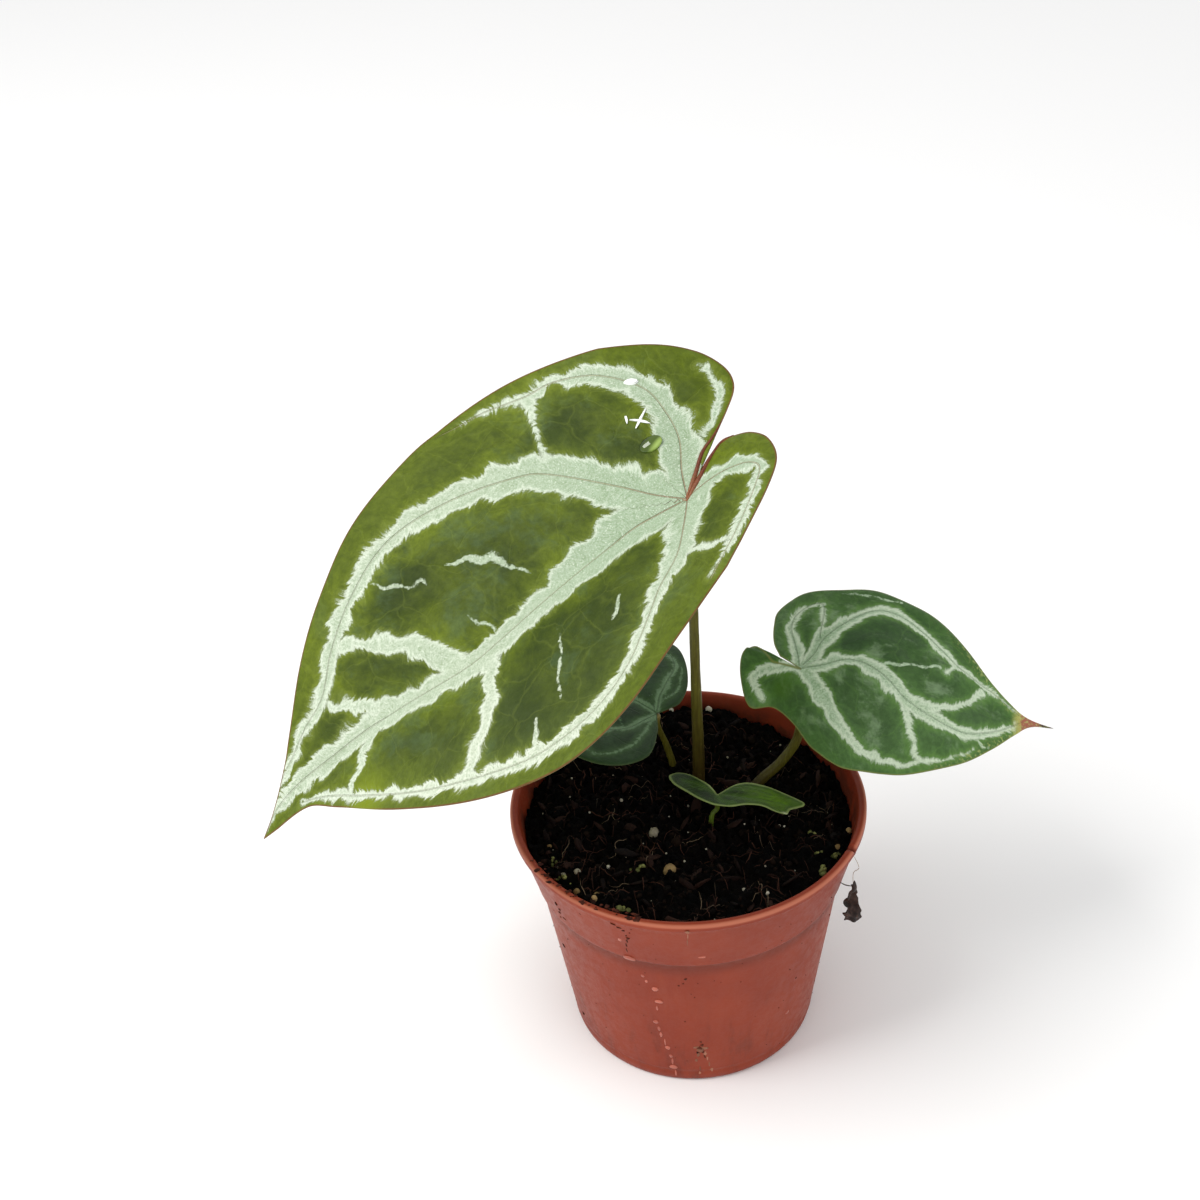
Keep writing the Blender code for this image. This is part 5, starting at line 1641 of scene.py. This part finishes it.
# %% [markdown]
# ## The dried scrap
#
# A dead leaf tip hangs from the cracked lip by a thread. It is a crumpled strip: the CAD's edges and
# buckle again, with finer folds. The strip is turned about its hanging line, so it shows its broad
# side to the front left and not straight outwards. The thread runs from its top up to the crack.

# %% Dried scrap
SCRAP_TURN = math.radians(-27.0)
SCRAP_OUT = np.array([math.cos(SCRAP_TURN), math.sin(SCRAP_TURN), 0.0])
SCRAP_TWIST = math.radians(47.0)
SCRAP_ROUND = np.array([-SCRAP_OUT[1], SCRAP_OUT[0], 0.0])
SCRAP_SIDE = SCRAP_ROUND * math.cos(SCRAP_TWIST) + SCRAP_OUT * math.sin(SCRAP_TWIST)
SCRAP_FACE = np.cross(SCRAP_SIDE, [0.0, 0.0, 1.0])
SCRAP_STANDOFF = 3.4
SCRAP_LEAN = 0.6
SCRAP_TOP = 58.0
SCRAP_LENGTH = 13.0
SCRAP_HALF_THICKNESS = 0.22


def scrap_surface(drop, share):
    """The strip at a drop of 0 to 1 from its top and a share of 0 to 1 across its width."""
    left = eased(drop, [-0.8, -1.6, -2.6, -2.0, -2.6, -2.0]) + 0.35 * np.sin(23 * drop) * (1 - share)
    right = eased(drop, [0.6, 0.9, 1.2, 1.4, 1.6, 1.6]) + 0.15 * np.sin(31 * drop) * share
    across = (left + (right - left) * share) * MM
    folds = 0.22 * lumps(np.dstack([drop * 13, across / MM]), 2.4, 9)
    buckle = 0.7 * np.sin(4 * share + 5 * drop) + 0.5 * np.sin(11 * drop) + folds
    collar = np.interp(57.0, [50.0, 66.6], [40.0, 44.1])
    out = (collar + SCRAP_STANDOFF + SCRAP_LEAN * drop) * MM
    height = (SCRAP_TOP - SCRAP_LENGTH * drop) * MM
    place = out[..., None] * SCRAP_OUT + across[..., None] * SCRAP_SIDE + buckle[..., None] * MM * SCRAP_FACE
    return place + height[..., None] * np.array([0, 0, 1.0])


rows, columns = 90, 26
drop, share = np.linspace(0, 1, rows)[:, None], np.linspace(0, 1, columns)[None, :]
drop, share = drop + 0 * share, share + 0 * drop
mid = scrap_surface(drop, share)
ahead = np.gradient(mid, axis=0)
aside = np.gradient(mid, axis=1)
normal = np.cross(ahead, aside)
normal /= np.linalg.norm(normal, axis=-1, keepdims=True)
thin_ends = np.clip(np.sin(np.pi * drop) * 9, 0, 1)
thin_edges = np.clip(np.sin(np.pi * share) * 6, 0, 1)
thick = SCRAP_HALF_THICKNESS * MM * np.sqrt(thin_ends * thin_edges)
upper, lower = mid + normal * thick[..., None], mid - normal * thick[..., None]
points = np.concatenate([upper, lower[:, ::-1]], axis=1)
withered = Finish("withered_leaf", Specular_IOR_Level=0.3)
where = withered.place()
patches = withered.noise(where, 380.0, detail=5.0, roughness=0.7)
creases = withered.noise(withered.stretched(where, (1500.0, 1500.0, 300.0)), 1.0, detail=4.0)
brown = withered.blend(withered.step(patches, 0.35, 0.7), light((22, 13, 10)), light((66, 41, 32)))
brown = withered.paint(brown, (90, 63, 51), withered.step(creases, 0.55, 0.75, 0.0, 0.5))
relief = withered.bump(creases, 0.0003)
withered_leaf = withered.done(Base_Color=brown, Roughness=0.6, Normal=relief)
faces = grid_faces(rows, 2 * columns, close_columns=True)
scrap = piece_from("dried_scrap", points, faces, withered_leaf, {"tone": np.zeros(points[..., 0].size)}, 1e-7)
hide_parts("dried_leaf_scrap")

# %% [markdown]
# The thread is a strip of leaf skin, drawn out thin when the tip tore off. It bows outwards from the
# crack to the strip, and a short hook holds the strip to the pot's wall.

# %% Thread and hook
crack = np.array([39.9, -19.6, 66.9]) * MM
hang = scrap_surface(np.array([[0.0]]), np.array([[0.5]]))[0, 0]
bow = crack + (hang - crack) * 0.4 + SCRAP_OUT * 1.6 * MM
knots = [crack, bow, hang + [0, 0, 3.5 * MM], hang - [0, 0, 1.0 * MM]]
strands("scrap_thread", smooth_line(knots, 24)[None], 0.07 * MM, tan, sides=6)
wall = SCRAP_OUT * 41.6 * MM + np.array([0, 0, 57.0]) * MM
knots = [wall - SCRAP_OUT * 0.3 * MM, wall + SCRAP_OUT * 1.4 * MM - [0, 0, 0.5 * MM], hang - [0, 0, 1.0 * MM]]
strands("scrap_hook", smooth_line(knots, 24)[None], 0.14 * MM, withered_leaf, sides=6)

# %% [markdown]
# ## Water on the large leaf
#
# One drop sits on the far lobe, with a splash beside it and a wet streak on the band above; the
# splash and the streak are near white, a painted highlight. The drop is a dome with a nearly flat
# base, so that nothing shows under the blade. It works as a lens: dark towards the lamp and bright on
# the far side, where the light that passes through it lands. A tone that runs across the dome draws
# that, because clear water would only show the green behind it.


# %% Water drop
DROP_AIM = (-0.55, 0.83)
DROP_SIZE = (2.9, 1.9, 1.0)
DROP_FLATNESS = 0.2


def on_blade(leaf, along, across):
    """Points on the blade's top and frames (along the blade, across it, square to it), from mm."""
    along, across = np.asarray(along, float) * MM, np.asarray(across, float) * MM
    mid = blade_surface(leaf, along, across)
    ahead, normal = blade_slope(leaf, along, across)
    ahead /= np.linalg.norm(ahead, axis=-1, keepdims=True)
    frames = np.stack([ahead, np.cross(normal, ahead), normal], axis=-1)
    return mid + normal * (BLADE_THICKNESS / 2 + 0.12 * MM), frames


water = Finish("water", Specular_IOR_Level=0.6)
lens = water.attribute("tone")
tint = water.blend(water.step(lens, 0.0, 0.45), light((26, 40, 4)), light((64, 84, 14)))
tint = water.paint(tint, (160, 186, 92), water.step(lens, 0.60, 0.92))
water = water.done(Base_Color=tint, Roughness=0.03)
place, frame_there = on_blade(LARGE_LEAF, [0.8], [-16.7])
polar, spin = np.linspace(0, np.pi, 28)[:, None], np.linspace(0, 2 * np.pi, 48, endpoint=False)
ball = np.dstack([np.sin(polar) * np.cos(spin), np.sin(polar) * np.sin(spin), np.cos(polar) + 0 * spin])
dome = ball * np.array(DROP_SIZE) * MM
dome[..., 2] = np.where(dome[..., 2] < 0, dome[..., 2] * DROP_FLATNESS, dome[..., 2])
points = place[0] + dome @ frame_there[0].T
shine = 0.5 + 0.5 * (ball[..., 0] * DROP_AIM[0] + ball[..., 1] * DROP_AIM[1])
piece_from("water_drop", points, grid_faces(28, 48, close_columns=True), water, {"tone": shine.ravel()}, 1e-7)

# %% [markdown]
# The splash is a flat cross of water with a small spot below it and a wet streak beside them. They
# are near white, a painted highlight of light glancing off the water. Each arm is a very thin pebble,
# turned on the blade by its own angle.

# %% Splash
# Painted highlight: near white stands in for the light glancing off the wet splash and streak.
splash_highlight = speckled("wet_film_painted_highlight", (236, 240, 236), (250, 252, 250), rough=0.08, bump=0.00002, shine=0.9)
SPLASH = [
    (0.4, -23.5, 2.6, 0.34, -41.0), (-0.2, -23.8, 2.4, 0.40, 40.0), (2.7, -25.6, 0.9, 0.28, 75.0),
    (-2.8, -33.9, 1.9, 0.75, -20.0),
]
splash = np.array(SPLASH)
places, frames = on_blade(LARGE_LEAF, splash[:, 0], splash[:, 1])
turn = np.radians(splash[:, 4])
cosine, sine = np.cos(turn), np.sin(turn)
spun = np.stack([np.stack([cosine, -sine], 1), np.stack([sine, cosine], 1)], axis=1)
frames[:, :, :2] = np.einsum("njk,nkl->njl", frames[:, :, :2], spun)
sizes = np.stack([splash[:, 2], splash[:, 3], np.full(len(splash), 0.16)], axis=1) * MM
pebbles("splash", places, sizes, frames, splash_highlight, 0.22, 9, 16, seed=9)

# %% [markdown]
# ## Floor, light and camera
#
# The photo is a bright product picture: white all round, one large soft light high on the left, and a
# faint shadow to the right of the pot. A white floor that runs far back and a white world give
# that, because the floor then fades into the background by itself.

# %% Studio
HALF_FLOOR = 6.0
floor_finish = Finish("white_paper", Base_Color=light((250, 250, 250)), Roughness=0.9, Specular_IOR_Level=0.1)
floor_mesh = bpy.data.meshes.new("studio_floor")
corners = np.array([(-1, -1, 0), (1, -1, 0), (1, 1, 0), (-1, 1, 0)]) * HALF_FLOOR
floor_mesh.from_pydata(corners.tolist(), [], [(0, 1, 2, 3)])
floor_mesh.materials.append(floor_finish.done())
floor = bpy.data.objects.new("studio_floor", floor_mesh)
bpy.context.scene.collection.objects.link(floor)


def soft_light(name, place, target, size, watts, colour=(1.0, 1.0, 1.0)):
    """A square area light that looks from its place at a target."""
    lamp = bpy.data.lights.new(name, "AREA")
    lamp.shape = "SQUARE"
    lamp.size = size
    lamp.energy = watts
    lamp.color = colour
    holder = bpy.data.objects.new(name, lamp)
    holder.location = place
    towards = Vector(target) - Vector(place)
    holder.rotation_euler = towards.to_track_quat("-Z", "Y").to_euler()
    bpy.context.scene.collection.objects.link(holder)
    return holder


soft_light("key", (-0.58, -0.20, 0.88), (0, 0, 0.08), 0.50, 7.5, (1.0, 0.99, 0.97))
soft_light("fill", (0.60, -0.70, 0.60), (0, 0, 0.08), 0.8, 0.8, (0.97, 0.985, 1.0))

world = bpy.data.worlds.new("white_room")
world.use_nodes = True
world.node_tree.nodes["Background"].inputs["Color"].default_value = (1.0, 1.0, 1.0, 1.0)
world.node_tree.nodes["Background"].inputs["Strength"].default_value = 0.80
bpy.context.scene.world = world
bpy.context.scene.view_settings.view_transform = "Standard"

# %% [markdown]
# The camera looks down at the plant by 35 degrees from the front, about half a metre away. Its three
# angles tip it up from looking straight down, roll it a little and turn it a little about the upright
# axis, because the photo's camera isn't held quite level.

# %% Camera
lens = bpy.data.cameras.new("camera")
lens.sensor_width = 36.0
lens.lens = 57.0
lens.dof.use_dof = False
camera = bpy.data.objects.new("camera", lens)
camera.location = (0.0, -0.36394, 0.38743)
camera.rotation_euler = [math.radians(angle) for angle in (54.839, 2.866, 0.972)]
bpy.context.scene.collection.objects.link(camera)
bpy.context.scene.camera = camera
print("camera", tuple(camera.location), "lens", lens.lens)
